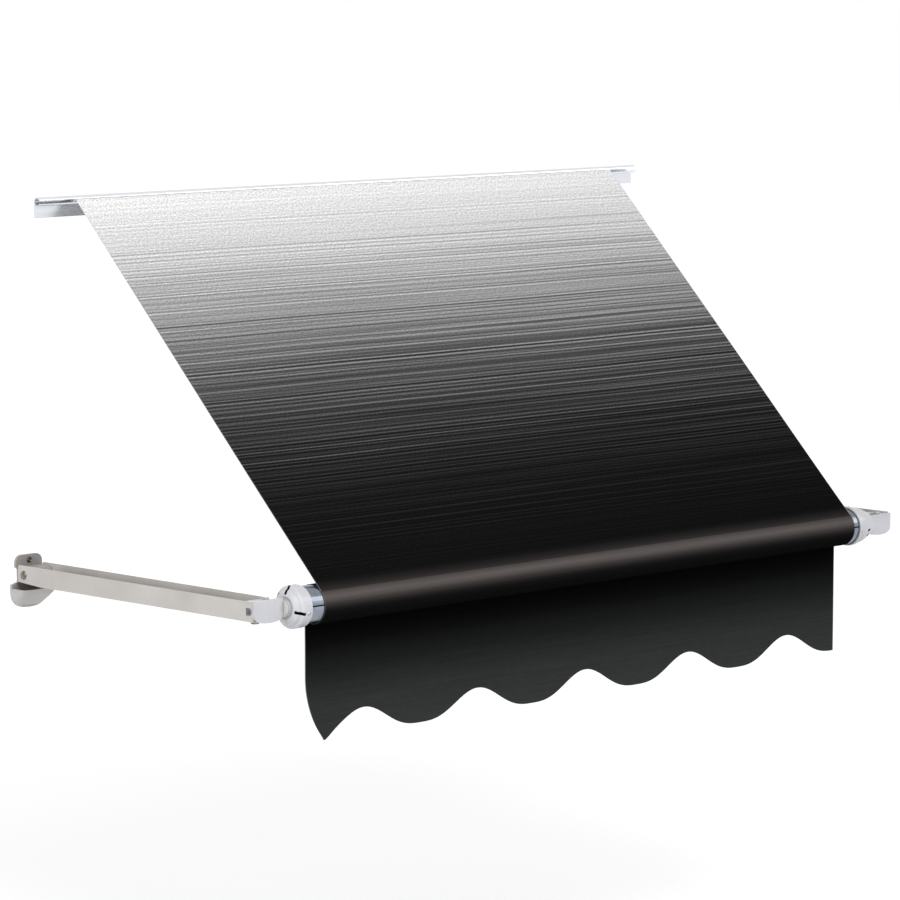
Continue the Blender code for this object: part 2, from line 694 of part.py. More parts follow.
def build_spring(looks, roller):
    """The coil that winds the cloth in, and the plug that ties its inner end to the tube."""
    start = -spring_end()
    coil = SPRING_SEAT_RADIUS + GAP + SPRING_WIRE / 2
    per_turn, sides = 10, 5
    # The facets of a coarse helix cut inside its own circle, so the circle grows by that much.
    coil /= math.cos(math.pi / per_turn)
    pitch = SPRING_LENGTH / SPRING_TURNS
    shape = bmesh.new()
    rings = []
    for k in range(SPRING_TURNS * per_turn + 1):
        angle = 2 * math.pi * k / per_turn
        x = start + SPRING_WIRE / 2 + pitch * k / per_turn
        centre = Vector((x, coil * math.cos(angle), coil * math.sin(angle)))
        outer = Vector((0, math.cos(angle), math.sin(angle)))
        run = Vector((pitch / (2 * math.pi), -coil * math.sin(angle), coil * math.cos(angle))).normalized()
        side = run.cross(outer)
        ring = []
        for j in range(sides):
            turn = 2 * math.pi * j / sides
            offset = (outer * math.cos(turn) + side * math.sin(turn)) * SPRING_WIRE / 2
            ring.append(shape.verts.new(centre + offset))
        rings.append(ring)
    for first, second in zip(rings, rings[1:]):
        for j in range(sides):
            n = (j + 1) % sides
            shape.faces.new((first[j], first[n], second[n], second[j]))
    shape.faces.new(rings[0])
    shape.faces.new(rings[-1])
    finish_mesh("torsion_spring", shape, looks["steel"], roller)
    end = start + SPRING_LENGTH + SPRING_WIRE + GAP
    plug_section = outward(groove_loops(GAP)[1])
    plug = prism("spring_plug", [plug_section], "X", end, end + PLUG_LENGTH, looks["white_plastic"], roller)
    nose = SPRING_SEAT_RADIUS
    profile = [(-SPRING_SEAT_LENGTH, 0), (-SPRING_SEAT_LENGTH, nose), (JOIN, nose), (JOIN, 0)]
    spigot = turned("spring_plug_spigot", profile, 16, None, roller, (end, 0, 0))
    combine(plug, [spigot], "UNION")


def build_arm(looks, arm, side):
    """A channel, open at the top, with its pivot holes, latch window and cut-backs, in its own frame."""
    name = SIDE_NAME[side]
    outer = side * ARM_OUTER[side]
    inner = side * ARM_INNER[side]
    skin = side * ARM_WALL
    half = ARM_HEIGHT / 2
    section = [
        (outer, -half),
        (inner, -half),
        (inner, half),
        (inner + skin, half),
        (inner + skin, -half + ARM_WALL),
        (outer - skin, -half + ARM_WALL),
        (outer - skin, half),
        (outer, half),
    ]
    wall_end = PIVOT_OUT - ARM_END_GAP
    front = -(ARM_FRONT - PIVOT_OUT)
    channel = prism(f"{name}_arm", [section], "Y", front, wall_end, looks["arm_paint"], arm)
    across = sorted((outer + side * PAST, inner - side * PAST))
    corner = (wall_end - ARM_END_ROUND, half - ARM_END_ROUND)
    top_corner = [(wall_end + PAST, half + PAST), (wall_end - ARM_END_ROUND, half + PAST)]
    top_corner += arc(corner, ARM_END_ROUND, math.pi / 2, 0, 5)
    top_corner.append((wall_end + PAST, corner[1]))
    taper_end = wall_end - ARM_TAPER_LENGTH
    taper = [(wall_end + PAST, -half + ARM_TAPER), (wall_end, -half + ARM_TAPER), (taper_end, -half)]
    taper += [(taper_end, -half - PAST), (wall_end + PAST, -half - PAST)]
    floor_end = PIVOT_OUT - ARM_FLOOR_START
    floor = [(floor_end, -half - PAST), (floor_end, -half + ARM_WALL + GAP)]
    floor += [(wall_end + PAST, -half + ARM_WALL + GAP), (wall_end + PAST, -half - PAST)]
    between = sorted((outer - skin, inner + skin))
    cut_end = front + INNER_FLANGE_CUT
    notch = [(front - PAST, -half - PAST), (front - PAST, half + PAST)]
    notch += [(cut_end, half + PAST), (cut_end, -half - PAST)]
    beside = sorted((inner + side * NOTCH_DEPTH, inner - side * PAST))
    cutters = [
        prism(f"{name}_arm_corner", [top_corner], "X", *across, None, arm),
        prism(f"{name}_arm_taper", [taper], "X", *across, None, arm),
        prism(f"{name}_arm_floor", [floor], "X", *between, None, arm),
        prism(f"{name}_arm_notch", [notch], "X", *beside, None, arm),
        prism(f"{name}_arm_window", [window_section(0)], "X", *window_span(side), None, arm),
    ]
    combine(channel, cutters, "DIFFERENCE")
    middle = (side * ARM_MIDDLE[side], 0, 0)
    drill(f"{name}_pivot_hole", channel, middle, (1, 0, 0), PIN_RADIUS + GAP, ARM_WIDTH + PAST, arm)
    below = (middle[0], -(BUTTON_OUT - PIVOT_OUT), -half + ARM_WALL / 2)
    drill(f"{name}_button_hole", channel, below, (0, 0, 1), BUTTON_SHANK + GAP, 4 * ARM_WALL, arm)


def window_section(clearance):
    """The D of the latch window in the arm's outer flange, as (y, z) in the arm's frame."""
    back = -(WINDOW_OUT - WINDOW_LENGTH / 2 - PIVOT_OUT) - clearance
    half = WINDOW_HEIGHT / 2 - clearance
    front = -(WINDOW_OUT + WINDOW_LENGTH / 2 - PIVOT_OUT) + clearance
    bend = (front + half, 0)
    return [(back, half), (back, -half)] + arc(bend, half, -math.pi / 2, -3 * math.pi / 2, 10)


def window_span(side):
    outer = side * ARM_OUTER[side]
    return sorted((outer + side * ARM_WALL, outer - side * 2 * ARM_WALL))


def head_plate_section(side):
    """The arm head's front plate: square above, rounded below, as (x, z)."""
    outer = side * ARM_OUTER[side]
    inner = side * HEAD_INNER[side]
    low, high = sorted((outer, inner))
    top = ARM_HEIGHT / 2 + HEAD_RISE[side]
    bottom = -ARM_HEIGHT / 2 - HEAD_SAG[side]
    middle = (low + high) / 2
    half = (high - low) / 2
    points = [(low, top), (low, bottom + HEAD_CORNER)]
    for k in range(1, 12):
        angle = math.pi * (k / 12 - 1)
        reach = math.copysign(abs(math.cos(angle)) ** 0.8, math.cos(angle))
        points.append((middle + half * reach, bottom + HEAD_CORNER + HEAD_CORNER * math.sin(angle)))
    points += [(high, bottom + HEAD_CORNER), (high, top)]
    return points


def build_head(looks, arm, side):
    """The plug in the arm's front end, with its latch clip and the button that holds it from below."""
    name = SIDE_NAME[side]
    front = -(HEAD_FRONT - PIVOT_OUT)
    back = front + HEAD_PLATE
    section = head_plate_section(side)
    head = prism(f"{name}_arm_head", [section], "Y", front, back, looks["white_plastic"], arm)
    half = ARM_HEIGHT / 2
    plug_outer = side * (ARM_OUTER[side] - ARM_WALL - GAP)
    plug_inner = side * (ARM_INNER[side] + ARM_WALL + GAP)
    floor = -half + ARM_WALL + GAP
    top = half - HEAD_PLUG_DROP
    inside = plug_inner + side * NOTCH_DEPTH
    plug = [(plug_outer, floor), (plug_inner, floor), (plug_inner, top), (plug_outer, top)]
    cheek_inner = side * HEAD_INNER[side]
    cheek = [(inside, floor), (cheek_inner, floor), (cheek_inner, top), (inside, top)]
    rib_x = side * (ARM_MIDDLE[side] - HEAD_RIB_OFFSET)
    rib = [(rib_x - HEAD_RIB_WIDTH / 2, top - JOIN), (rib_x + HEAD_RIB_WIDTH / 2, top - JOIN)]
    rib_top = half + HEAD_RISE[side] + HEAD_RIB_HEIGHT
    rib += [(rib_x + HEAD_RIB_WIDTH / 2, rib_top), (rib_x - HEAD_RIB_WIDTH / 2, rib_top)]
    cheek_back = -(ARM_FRONT - PIVOT_OUT) + INNER_FLANGE_CUT - GAP
    added = [
        prism(f"{name}_head_plug", [plug], "Y", back - JOIN, back + HEAD_PLUG, None, arm),
        prism(f"{name}_head_cheek", [cheek], "Y", back - JOIN, cheek_back, None, arm),
        prism(f"{name}_head_rib", [rib], "Y", back - JOIN, back + HEAD_RIB_LENGTH, None, arm),
    ]
    combine(head, added, "UNION")
    pocket_half = HEAD_POCKET_WIDTH / 2
    pocket_floor = top - HEAD_POCKET_DEPTH
    pocket_x = side * ARM_MIDDLE[side]
    pocket = [(pocket_x - pocket_half, pocket_floor), (pocket_x + pocket_half, pocket_floor)]
    pocket += [(pocket_x + pocket_half, half + PAST), (pocket_x - pocket_half, half + PAST)]
    pocket_start = back + HEAD_POCKET_START
    pocket_end = pocket_start + HEAD_POCKET_LENGTH
    hollow = prism(f"{name}_head_pocket", [pocket], "Y", pocket_start, pocket_end, None, arm)
    combine(head, [hollow], "DIFFERENCE")
    hole_end = spindle_start(side) + 2 * GAP
    hole_length = hole_end - HEAD_INNER[side] + PAST
    shaft = (side * (hole_end - hole_length / 2), -(PROJECTION - PIVOT_OUT), 0)
    drill(f"{name}_spindle_hole", head, shaft, (1, 0, 0), SPINDLE_RADIUS + GAP, hole_length, arm, 20)
    below = (side * ARM_MIDDLE[side], -(BUTTON_OUT - PIVOT_OUT), floor)
    drill(f"{name}_button_pocket", head, below, (0, 0, 1), BUTTON_SHANK + GAP, 2 * BUTTON_REACH, arm)
    clip_outer = side * (ARM_OUTER[side] - ARM_WALL / 2)
    clip = sorted((clip_outer, clip_outer - side * CLIP_DEPTH))
    recess = sorted((plug_outer + side * GAP, clip_outer - side * (CLIP_DEPTH + GAP)))
    cutter = prism(f"{name}_clip_recess", [window_section(0)], "X", *recess, None, arm)
    combine(head, [cutter], "DIFFERENCE")
    prism(f"{name}_head_clip", [window_section(GAP)], "X", *clip, looks["steel"], arm)
    seat = (side * ARM_MIDDLE[side], -(BUTTON_OUT - PIVOT_OUT), -half - GAP)
    rounded = [
        (-BUTTON_HEIGHT, 0),
        (-BUTTON_HEIGHT, BUTTON_RADIUS * 0.75),
        (-BUTTON_HEIGHT * 0.5, BUTTON_RADIUS),
        (0, BUTTON_RADIUS),
        (0, BUTTON_SHANK),
        (BUTTON_REACH, BUTTON_SHANK),
        (BUTTON_REACH, 0),
    ]
    turned(f"{name}_head_button", rounded, 20, looks["white_plastic"], arm, seat, (0, 0, 1))


def build_pin(looks, arm, side):
    """A headed pivot pin through both flanges, with a retaining ring on its inner end."""
    name = SIDE_NAME[side]
    head = PIN_HEAD
    ring = ARM_WIDTH + 2 * GAP
    length = ring + CLIP_THICKNESS + PIN_TAIL
    groove = PIN_RADIUS - CLIP_GROOVE
    profile = [
        (-head, 0),
        (-head, PIN_HEAD_RADIUS * 0.62),
        (-head * 0.55, PIN_HEAD_RADIUS * 0.92),
        (0, PIN_HEAD_RADIUS),
        (0, PIN_RADIUS),
        (ring - GAP, PIN_RADIUS),
        (ring - GAP, groove),
        (ring + CLIP_THICKNESS + GAP, groove),
        (ring + CLIP_THICKNESS + GAP, PIN_RADIUS),
        (length, PIN_RADIUS),
        (length, 0),
    ]
    place = (side * (ARM_OUTER[side] + GAP), 0, 0)
    turned(f"{name}_pivot_pin", profile, 16, looks["steel"], arm, place, (-side, 0, 0))
    circlip = [(0, groove + GAP), (0, CLIP_RADIUS)]
    circlip += [(CLIP_THICKNESS, CLIP_RADIUS), (CLIP_THICKNESS, groove + GAP)]
    place = (side * (ARM_OUTER[side] + GAP - ring), 0, 0)
    turned(f"{name}_pivot_clip", circlip, 16, looks["steel"], arm, place, (-side, 0, 0))


def cup_half_width(share):
    """Half the cup's width at this share of its depth: full above, rounded into the bottom."""
    return CUP_HALF_WIDTH * (1 - share**CUP_ROUNDNESS) ** (1 / CUP_ROUNDNESS)


def bracket_outline(middle):
    """The wall plate: a rounded tab, a waist behind the arm, and the plate behind the cup, as (x, z)."""
    tab = [(TAB_HALF_WIDTH, TAB_BOTTOM)]
    tab += arc((TAB_HALF_WIDTH - TAB_ROUND, TAB_TOP - TAB_ROUND), TAB_ROUND, 0, math.pi / 2, 5)
    waist = [(WAIST_HALF_WIDTH, CUP_PLATE_TOP + PLATE_SLOPE), (WAIST_HALF_WIDTH, TAB_BOTTOM - PLATE_SLOPE)]
    bowl = [(cup_half_width(share), CUP_TOP - CUP_DEPTH * share) for share in reversed(CUP_LEVELS)]
    right = bowl + [(CUP_HALF_WIDTH, CUP_PLATE_TOP)] + waist + tab
    left = [(-x, z) for x, z in reversed(right)]
    bottom = (0, CUP_TOP - CUP_DEPTH)
    return [(middle + x, z) for x, z in [*right, *left, bottom]]


def cup_row(share, inset):
    """One level of a skin of the cup, from its left back edge round to its right one, as (x, out)."""
    half = cup_half_width(share) * (1 - inset / CUP_HALF_WIDTH)
    reach = (CUP_OUT - BRACKET_PLATE / 2 - inset) * (1 - share) ** CUP_SLANT
    corner = min(CUP_CORNER, reach - GAP)
    right = arc((half - corner, reach - corner), corner, 0, math.pi / 2, 5)
    left = [(-x, out) for x, out in right]
    return [(-half, 0), *left, *reversed(right), (half, 0)]


def build_cup(name, middle, place):
    """The open cup under the pivot, hollow, slanting back to the wall, with its back in the plate."""
    shape = bmesh.new()
    back = -BRACKET_PLATE / 2
    skins = []
    for inset in (0, CUP_WALL):
        rows = []
        for share in CUP_LEVELS:
            z = CUP_TOP - (CUP_DEPTH - inset) * share
            points = cup_row(share, inset)
            rows.append([shape.verts.new((middle + x, back - out, z)) for x, out in points])
        tip = shape.verts.new((middle, back, CUP_TOP - CUP_DEPTH + inset))
        around = len(rows[0]) - 1
        for upper, lower in zip(rows, rows[1:]):
            for i in range(around):
                shape.faces.new((upper[i], upper[i + 1], lower[i + 1], lower[i]))
        for i in range(around):
            shape.faces.new((rows[-1][i], rows[-1][i + 1], tip))
        skins.append((rows, tip))
    (outer, outer_tip), (inner, inner_tip) = skins
    for i in range(around):
        shape.faces.new((outer[0][i], outer[0][i + 1], inner[0][i + 1], inner[0][i]))
    for end in (0, around):
        for j in range(len(CUP_LEVELS) - 1):
            shape.faces.new((outer[j][end], outer[j + 1][end], inner[j + 1][end], inner[j][end]))
        shape.faces.new((outer[-1][end], outer_tip, inner_tip, inner[-1][end]))
    return finish_mesh(name, shape, None, None, place)


def build_bracket(looks, side):
    """A wall bracket: plate, pivot lug and cup in one moulding, with its bush and its two screws."""
    name = SIDE_NAME[side]
    middle = side * ARM_MIDDLE[side]
    place = (0, 0, -DROP)
    outline = bracket_outline(middle)
    bracket = prism(
        f"{name}_wall_bracket", [outline], "Y", -BRACKET_PLATE, 0, looks["bracket_paint"], None, place
    )
    waist = sorted((middle - WAIST_HALF_WIDTH, middle + WAIST_HALF_WIDTH))
    lug = [(-BRACKET_PLATE / 2, LUG_RADIUS)]
    lug += arc((-PIVOT_OUT, 0), LUG_RADIUS, math.pi / 2, 3 * math.pi / 2, 10)
    lug.append((-BRACKET_PLATE / 2, -LUG_RADIUS))
    lug_solid = prism(f"{name}_bracket_lug", [lug], "X", *waist, None, None, place)
    cup = build_cup(f"{name}_bracket_cup", middle, place)
    combine(bracket, [lug_solid, cup], "UNION")
    pivot = (middle, -PIVOT_OUT, -DROP)
    drill(f"{name}_lug_hole", bracket, pivot, (1, 0, 0), LUG_BORE, 3 * WAIST_HALF_WIDTH, None)
    for k, height in enumerate((TAB_SCREW_RISE, -CUP_SCREW_DROP)):
        hole = (middle, -BRACKET_PLATE / 2, -DROP + height)
        radius = BRACKET_SCREW[2] + GAP
        drill(f"{name}_bracket_hole_{k + 1}", bracket, hole, (0, 1, 0), radius, 3 * BRACKET_PLATE, None, 12)
        seat = (middle, -BRACKET_PLATE - GAP, -DROP + height)
        screw(f"{name}_bracket_screw_{k + 1}", BRACKET_SCREW, seat, (0, 1, 0), looks["zinc_screw"], None, 12)
    bore = PIN_RADIUS + RUNNING_FIT
    outer = bore + PIN_BUSH_WALL
    half = WAIST_HALF_WIDTH
    ring = [(-half, bore), (-half, outer), (half, outer), (half, bore)]
    turned(f"{name}_pivot_bush", ring, 16, looks["nylon"], None, pivot)


def main():
    clear_scene()
    looks = make_materials()
    build_rail(looks)
    build_canopy(looks)
    roller = make_axis("roller_axis", (0, -PROJECTION, -DROP))
    build_tube(looks, roller)
    build_roll(looks, roller)
    build_spring(looks, roller)
    for side in (-1, 1):
        arm = make_axis(f"{SIDE_NAME[side]}_arm_axis", (0, -PIVOT_OUT, -DROP))
        build_bracket(looks, side)
        build_arm(looks, arm, side)
        build_head(looks, arm, side)
        build_pin(looks, arm, side)
        build_spindle(looks, arm, side)
        build_washer(looks, arm, side)
        build_cap(looks, roller, side)
        if side == -1:
            build_valance(looks, arm)


main()
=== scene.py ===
"""The looks of a window awning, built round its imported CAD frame.

Metres, in the row frame: +X along the wall, -Y out from it, +Z up. The cloth is rebuilt here as
thin sheets with a printed fade, and every CAD piece gets a procedural finish.
"""

import json
import math

import bmesh
import bpy
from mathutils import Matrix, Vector


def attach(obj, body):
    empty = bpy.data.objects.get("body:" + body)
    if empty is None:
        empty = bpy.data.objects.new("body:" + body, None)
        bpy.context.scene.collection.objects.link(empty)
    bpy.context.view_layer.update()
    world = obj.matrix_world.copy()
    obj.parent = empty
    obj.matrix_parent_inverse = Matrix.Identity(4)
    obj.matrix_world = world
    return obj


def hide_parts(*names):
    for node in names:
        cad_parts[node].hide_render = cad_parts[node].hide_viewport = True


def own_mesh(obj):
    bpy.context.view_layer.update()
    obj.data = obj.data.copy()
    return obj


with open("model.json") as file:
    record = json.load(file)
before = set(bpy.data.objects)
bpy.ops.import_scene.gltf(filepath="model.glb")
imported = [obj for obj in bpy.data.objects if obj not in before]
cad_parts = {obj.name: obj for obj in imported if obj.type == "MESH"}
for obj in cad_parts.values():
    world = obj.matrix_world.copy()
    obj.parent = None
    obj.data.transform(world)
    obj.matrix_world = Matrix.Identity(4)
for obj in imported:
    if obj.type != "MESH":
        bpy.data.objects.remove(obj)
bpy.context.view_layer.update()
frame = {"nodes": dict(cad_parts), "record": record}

# Camera, at the photograph's place
CAMERA_PLACE = (-5.5422, -5.8713, 0.47575)
CAMERA_PITCH = math.radians(90 - 6.743)
CAMERA_YAW = math.radians(-44.627)
CAMERA_LENS = 176.83
CAMERA_SENSOR = 36
CAMERA_RANGE = 200

# Shapes that the cloth follows, the same as the CAD has. CLOTH is its thickness. TUBE_GAP lies
# between it and the tube, and SHEET_GAP between the roll and the two sheets that leave it.
ROLLER_OUT = 0.6093
ROLLER_DROP = 0.6265
RAIL_TOP = 0.01775
CHANNEL_OUT = 0.0075
CHANNEL_DROP = 0.0075
HEM_RADIUS = 0.0058
START_OUT = 0.0190
START_DROP = 0.0062
TUBE_RADIUS = 0.0325
TUBE_GAP = 0.0002
CLOTH = 0.00055
LAYERS = 2
ROLL_RADIUS = TUBE_RADIUS + TUBE_GAP + LAYERS * CLOTH
CLOTH_WIDTH = 1.336
SHEET_GAP = 0.0003

# Canopy sheet
CANOPY_COLUMNS = 96
SLOPE_ROWS = 72
HEM_ROWS = 20
HEM_OPENING = 1.2 * CLOTH
MOUTH_SHARES = (0.35, 0.7, 0.92)
BEND_LENGTH = 0.002
BILLOW = 0.0011
BILLOW_POWER = 0.6
BILLOW_SAG = 0.8

# Roll of cloth on the tube
ROLL_TURNS = 1.9
ROLL_STEPS_PER_TURN = 72
ROLL_COLUMNS = 24

# Valance
VALANCE_DROP = 0.1985
VALANCE_ANGLE = math.radians(-118)
SCALLOP_DEPTH = 0.043
SCALLOP_POWER = 1.5
SCALLOPS = 5
VALANCE_COLUMNS = 200
VALANCE_ROWS = 28
VALANCE_INSET = 0.6 * CLOTH
VALANCE_WAVE = 0.0016
VALANCE_WAVE_STRETCH = 1.6
CURL_OUT = 0.0435
CURL_WIDTH = 0.085
CURL_HEIGHT = 0.108

# Thickness that the sheets are drawn with, a little less than the cloth's, which keeps them apart
RIBBON_THICKNESS = 0.82 * CLOTH
VALANCE_THICKNESS = 0.9 * CLOTH

# Edges that bend more than this are shown sharp
SHARP_ANGLE = math.radians(50)

# Slots round the end caps, the hole in the left cap's face and the hole in the right cap's side,
# which get painted shade inside. Distances are from the roller's axis or along X.
SLOT_ANGLES = (math.radians(-13), math.radians(92), math.radians(197))
SLOT_HALF_WIDTH = 0.0026
LEFT_SLOT_RANGE = (0.7121, 0.7256)
RIGHT_SLOT_RANGE = (0.7093, 0.7177)
OPENING_FLOOR = 0.0218
HOLE_RADIUS = 0.0029
FACE_HOLE_ANGLE = math.radians(142)
FACE_HOLE_DISTANCE = 0.0312
FACE_HOLE_RANGE = (0.7085, 0.7330)
SIDE_HOLE_ANGLE = math.radians(-31)
SIDE_HOLE_X = 0.7135

# Depths in the tube's surface: bright above the one, painted shade in the grooves and the bore below
# the other
TUBE_BRIGHT_DEPTH = 0.0006
TUBE_SHADE_DEPTH = 0.0014

# Heights on the wall brackets between which painted shade on the upper tab turns to painted light on
# the cup below, and how bright it is on either side
BRACKET_SHADED_TOP = -0.620
BRACKET_LIT_BOTTOM = -0.665
BRACKET_SHADED_LEVEL = 0.80
BRACKET_LIT_LEVEL = 1.26

# Floor, below the hanging part, with its glow near the part and far from it
FLOOR_Z = -1.45
FLOOR_SIZE = 60.0
FLOOR_NEAR = 2.0
FLOOR_FAR = 5.0
FLOOR_NEAR_GLOW = 0.48
FLOOR_FAR_GLOW = 0.64

# What lights the object from all round, and what a background ray sees
ROOM_LIGHT = (0.47, 0.47, 0.48, 1.0)
WHITE = (1.0, 1.0, 1.0, 1.0)

# Looks of the cloth: the width of its pale cut edge and how strongly that shows, the pitch of its
# printed lines with their strength as a share of the whole fade, and the pitch of its threads
PALE_EDGE = 0.0016
PALE_EDGE_STRENGTH = 0.3
LINE_PITCH = 0.0071
LINE_STRENGTH = 0.055
WARP_PITCH = 0.0011
WEFT_PITCH = 0.0009


def linear(level):
    """A display level from 0 to 255 as a linear colour value."""
    share = level / 255
    return share / 12.92 if share <= 0.04045 else ((share + 0.055) / 1.055) ** 2.4


def grey(level):
    value = linear(level)
    return (value, value, value, 1.0)


def rgb(red, green, blue):
    return (linear(red), linear(green), linear(blue), 1.0)


def new_material(name, colour, roughness, metallic=0.0, specular=0.5):
    """A Principled material with its even values set. Returns it with its node tree and shader."""
    material = bpy.data.materials.new(name)
    material.use_nodes = True
    shader = material.node_tree.nodes["Principled BSDF"]
    shader.inputs["Base Color"].default_value = colour
    shader.inputs["Roughness"].default_value = roughness
    shader.inputs["Metallic"].default_value = metallic
    shader.inputs["Specular IOR Level"].default_value = specular
    return material, material.node_tree, shader


def feed(tree, socket, value):
    """Links a socket to the input, or sets the input to a number."""
    if isinstance(value, bpy.types.NodeSocket):
        tree.links.new(value, socket)
    else:
        socket.default_value = value


def maths(tree, operation, first, second=0.0):
    node = tree.nodes.new("ShaderNodeMath")
    node.operation = operation
    feed(tree, node.inputs[0], first)
    feed(tree, node.inputs[1], second)
    return node.outputs[0]


def plus(tree, first, second):
    return maths(tree, "ADD", first, second)


def minus(tree, first, second):
    return maths(tree, "SUBTRACT", first, second)


def times(tree, first, second):
    return maths(tree, "MULTIPLY", first, second)


def spread(tree, value, low, high, new_low=0.0, new_high=1.0):
    """Maps a value from one range to another, clamped."""
    node = tree.nodes.new("ShaderNodeMapRange")
    feed(tree, node.inputs["Value"], value)
    node.inputs["From Min"].default_value = low
    node.inputs["From Max"].default_value = high
    node.inputs["To Min"].default_value = new_low
    node.inputs["To Max"].default_value = new_high
    return node.outputs["Result"]


def mixed(tree, share, first, second):
    node = tree.nodes.new("ShaderNodeMix")
    node.data_type = "RGBA"
    feed(tree, node.inputs["Factor"], share)
    feed(tree, node.inputs["A"], first)
    feed(tree, node.inputs["B"], second)
    return node.outputs["Result"]


def colour_ramp(tree, value, stops):
    node = tree.nodes.new("ShaderNodeValToRGB")
    elements = node.color_ramp.elements
    elements[0].position, elements[0].color = stops[0]
    elements[1].position, elements[1].color = stops[-1]
    for place, colour in stops[1:-1]:
        elements.new(place).color = colour
    feed(tree, node.inputs["Fac"], value)
    return node.outputs["Color"]


def object_place(tree):
    return tree.nodes.new("ShaderNodeTexCoord").outputs["Object"]


def stretched(tree, place, scale):
    node = tree.nodes.new("ShaderNodeVectorMath")
    node.operation = "MULTIPLY"
    feed(tree, node.inputs[0], place)
    node.inputs[1].default_value = scale
    return node.outputs[0]


def noise(tree, place, scale, detail, roughness):
    node = tree.nodes.new("ShaderNodeTexNoise")
    feed(tree, node.inputs["Vector"], place)
    node.inputs["Scale"].default_value = scale
    node.inputs["Detail"].default_value = detail
    node.inputs["Roughness"].default_value = roughness
    return node.outputs["Fac"]


def streaky(tree, place, scale, detail, roughness):
    """Noise with a scale of its own along each axis, so that it is drawn out into streaks."""
    return noise(tree, stretched(tree, place, scale), 1.0, detail, roughness)


def openness(tree, reach, own_only):
    """1 on open surfaces, and less in corners and hollows that are within this reach."""
    node = tree.nodes.new("ShaderNodeAmbientOcclusion")
    node.only_local = own_only
    node.inputs["Distance"].default_value = reach
    return node.outputs["AO"]


def hollow_shaded(tree, tint, hollow_shade, reach, low, high, own_only=True):
    """The tint, with painted shade in corners and hollows."""
    return mixed(tree, spread(tree, openness(tree, reach, own_only), low, high), hollow_shade, tint)


def add_bump(tree, shader, height, depth, strength):
    node = tree.nodes.new("ShaderNodeBump")
    node.inputs["Strength"].default_value = strength
    node.inputs["Distance"].default_value = depth
    feed(tree, node.inputs["Height"], height)
    tree.links.new(node.outputs["Normal"], shader.inputs["Normal"])


def cloth_place(tree):
    """Where a point lies on the flat cloth, in metres: across it, and along it from its top."""
    uv = tree.nodes.new("ShaderNodeUVMap")
    uv.uv_map = "cloth"
    parts = tree.nodes.new("ShaderNodeSeparateXYZ")
    tree.links.new(uv.outputs["UV"], parts.inputs["Vector"])
    return uv.outputs["UV"], parts.outputs["X"], parts.outputs["Y"]


def pale_edge(tree, across):
    """A mask of the cloth's cut side edges, where its pale core shows."""
    half = CLOTH_WIDTH / 2
    from_middle = maths(tree, "ABSOLUTE", minus(tree, across, half))
    return spread(tree, from_middle, half - PALE_EDGE, half - 0.3 * PALE_EDGE)


def weave_height(tree, place, across, along):
    """The relief of a coated plain weave: fine crossed threads, partly filled."""
    warp = maths(tree, "SINE", times(tree, across, 2 * math.pi / WARP_PITCH))
    weft = maths(tree, "SINE", times(tree, along, 2 * math.pi / WEFT_PITCH))
    grain = noise(tree, place, 260.0, detail=3.0, roughness=0.6)
    return plus(tree, times(tree, times(tree, warp, weft), 0.5), grain)


def centred(tree, value, amount):
    """A noise value moved to swing round zero, by this amount."""
    return times(tree, minus(tree, value, 0.5), amount)


def scaled(tree, colour, share):
    node = tree.nodes.new("ShaderNodeVectorMath")
    node.operation = "SCALE"
    feed(tree, node.inputs[0], colour)
    feed(tree, node.inputs["Scale"], share)
    return node.outputs[0]


def fade_shift(tree, place, share, along):
    """How far the streaks, the printed lines and the broad bands move the fade at a point."""
    long_streaks = streaky(tree, place, (0.14, 225.0, 1.0), detail=2.0, roughness=0.6)
    long_streaks = spread(tree, long_streaks, 0.33, 0.67)
    short_streaks = streaky(tree, place, (1.3, 420.0, 1.0), detail=1.0, roughness=0.5)
    bands = streaky(tree, place, (0.15, 28.0, 1.0), detail=2.0, roughness=0.5)
    streaks = plus(tree, centred(tree, long_streaks, 0.25), centred(tree, short_streaks, 0.24))
    wander = streaky(tree, place, (0.14, 45.0, 1.0), detail=1.0, roughness=0.5)
    turns = plus(tree, maths(tree, "DIVIDE", along, LINE_PITCH), centred(tree, wander, 0.9))
    lines = maths(tree, "SINE", times(tree, turns, 2 * math.pi))
    streaks = plus(tree, streaks, times(tree, lines, LINE_STRENGTH))
    # Weaker on the white part next to the rail
    strength = spread(tree, share, 0.08, 0.32, 0.35, 1.0)
    return plus(tree, times(tree, streaks, strength), centred(tree, bands, 0.08))


def canopy_material(length):
    """A printed fade from white at the rail to black at the roller, broken up by streaks across."""
    material, tree, shader = new_material("canopy_print", grey(60), roughness=0.85, specular=0.0)
    place, across, along = cloth_place(tree)
    share = maths(tree, "DIVIDE", along, length)
    fade = colour_ramp(
        tree,
        plus(tree, share, fade_shift(tree, place, share, along)),
        [
            (0.00, grey(252)),
            (0.08, grey(222)),
            (0.18, grey(202)),
            (0.28, grey(164)),
            (0.38, grey(138)),
            (0.46, grey(99)),
            (0.54, grey(78)),
            (0.62, grey(55)),
            (0.70, grey(38)),
            (0.78, grey(28)),
            (0.86, grey(20)),
            (1.00, grey(16)),
        ],
    )
    grain = streaky(tree, place, (300.0, 300.0, 1.0), detail=1.0, roughness=0.5)
    speckled = scaled(tree, fade, plus(tree, 1.0, centred(tree, grain, 1.4)))
    # Painted highlight on the last part of the slope, next to the roll.
    near_roller = spread(tree, share, 0.970, 1.0)
    painted_sheen = times(tree, near_roller, near_roller)
    with_painted_sheen = mixed(tree, painted_sheen, speckled, rgb(48, 45, 44))
    edged = mixed(tree, times(tree, pale_edge(tree, across), PALE_EDGE_STRENGTH), with_painted_sheen, grey(190))
    tree.links.new(edged, shader.inputs["Base Color"])
    add_bump(tree, shader, weave_height(tree, place, across, along), depth=0.00012, strength=0.22)
    return material


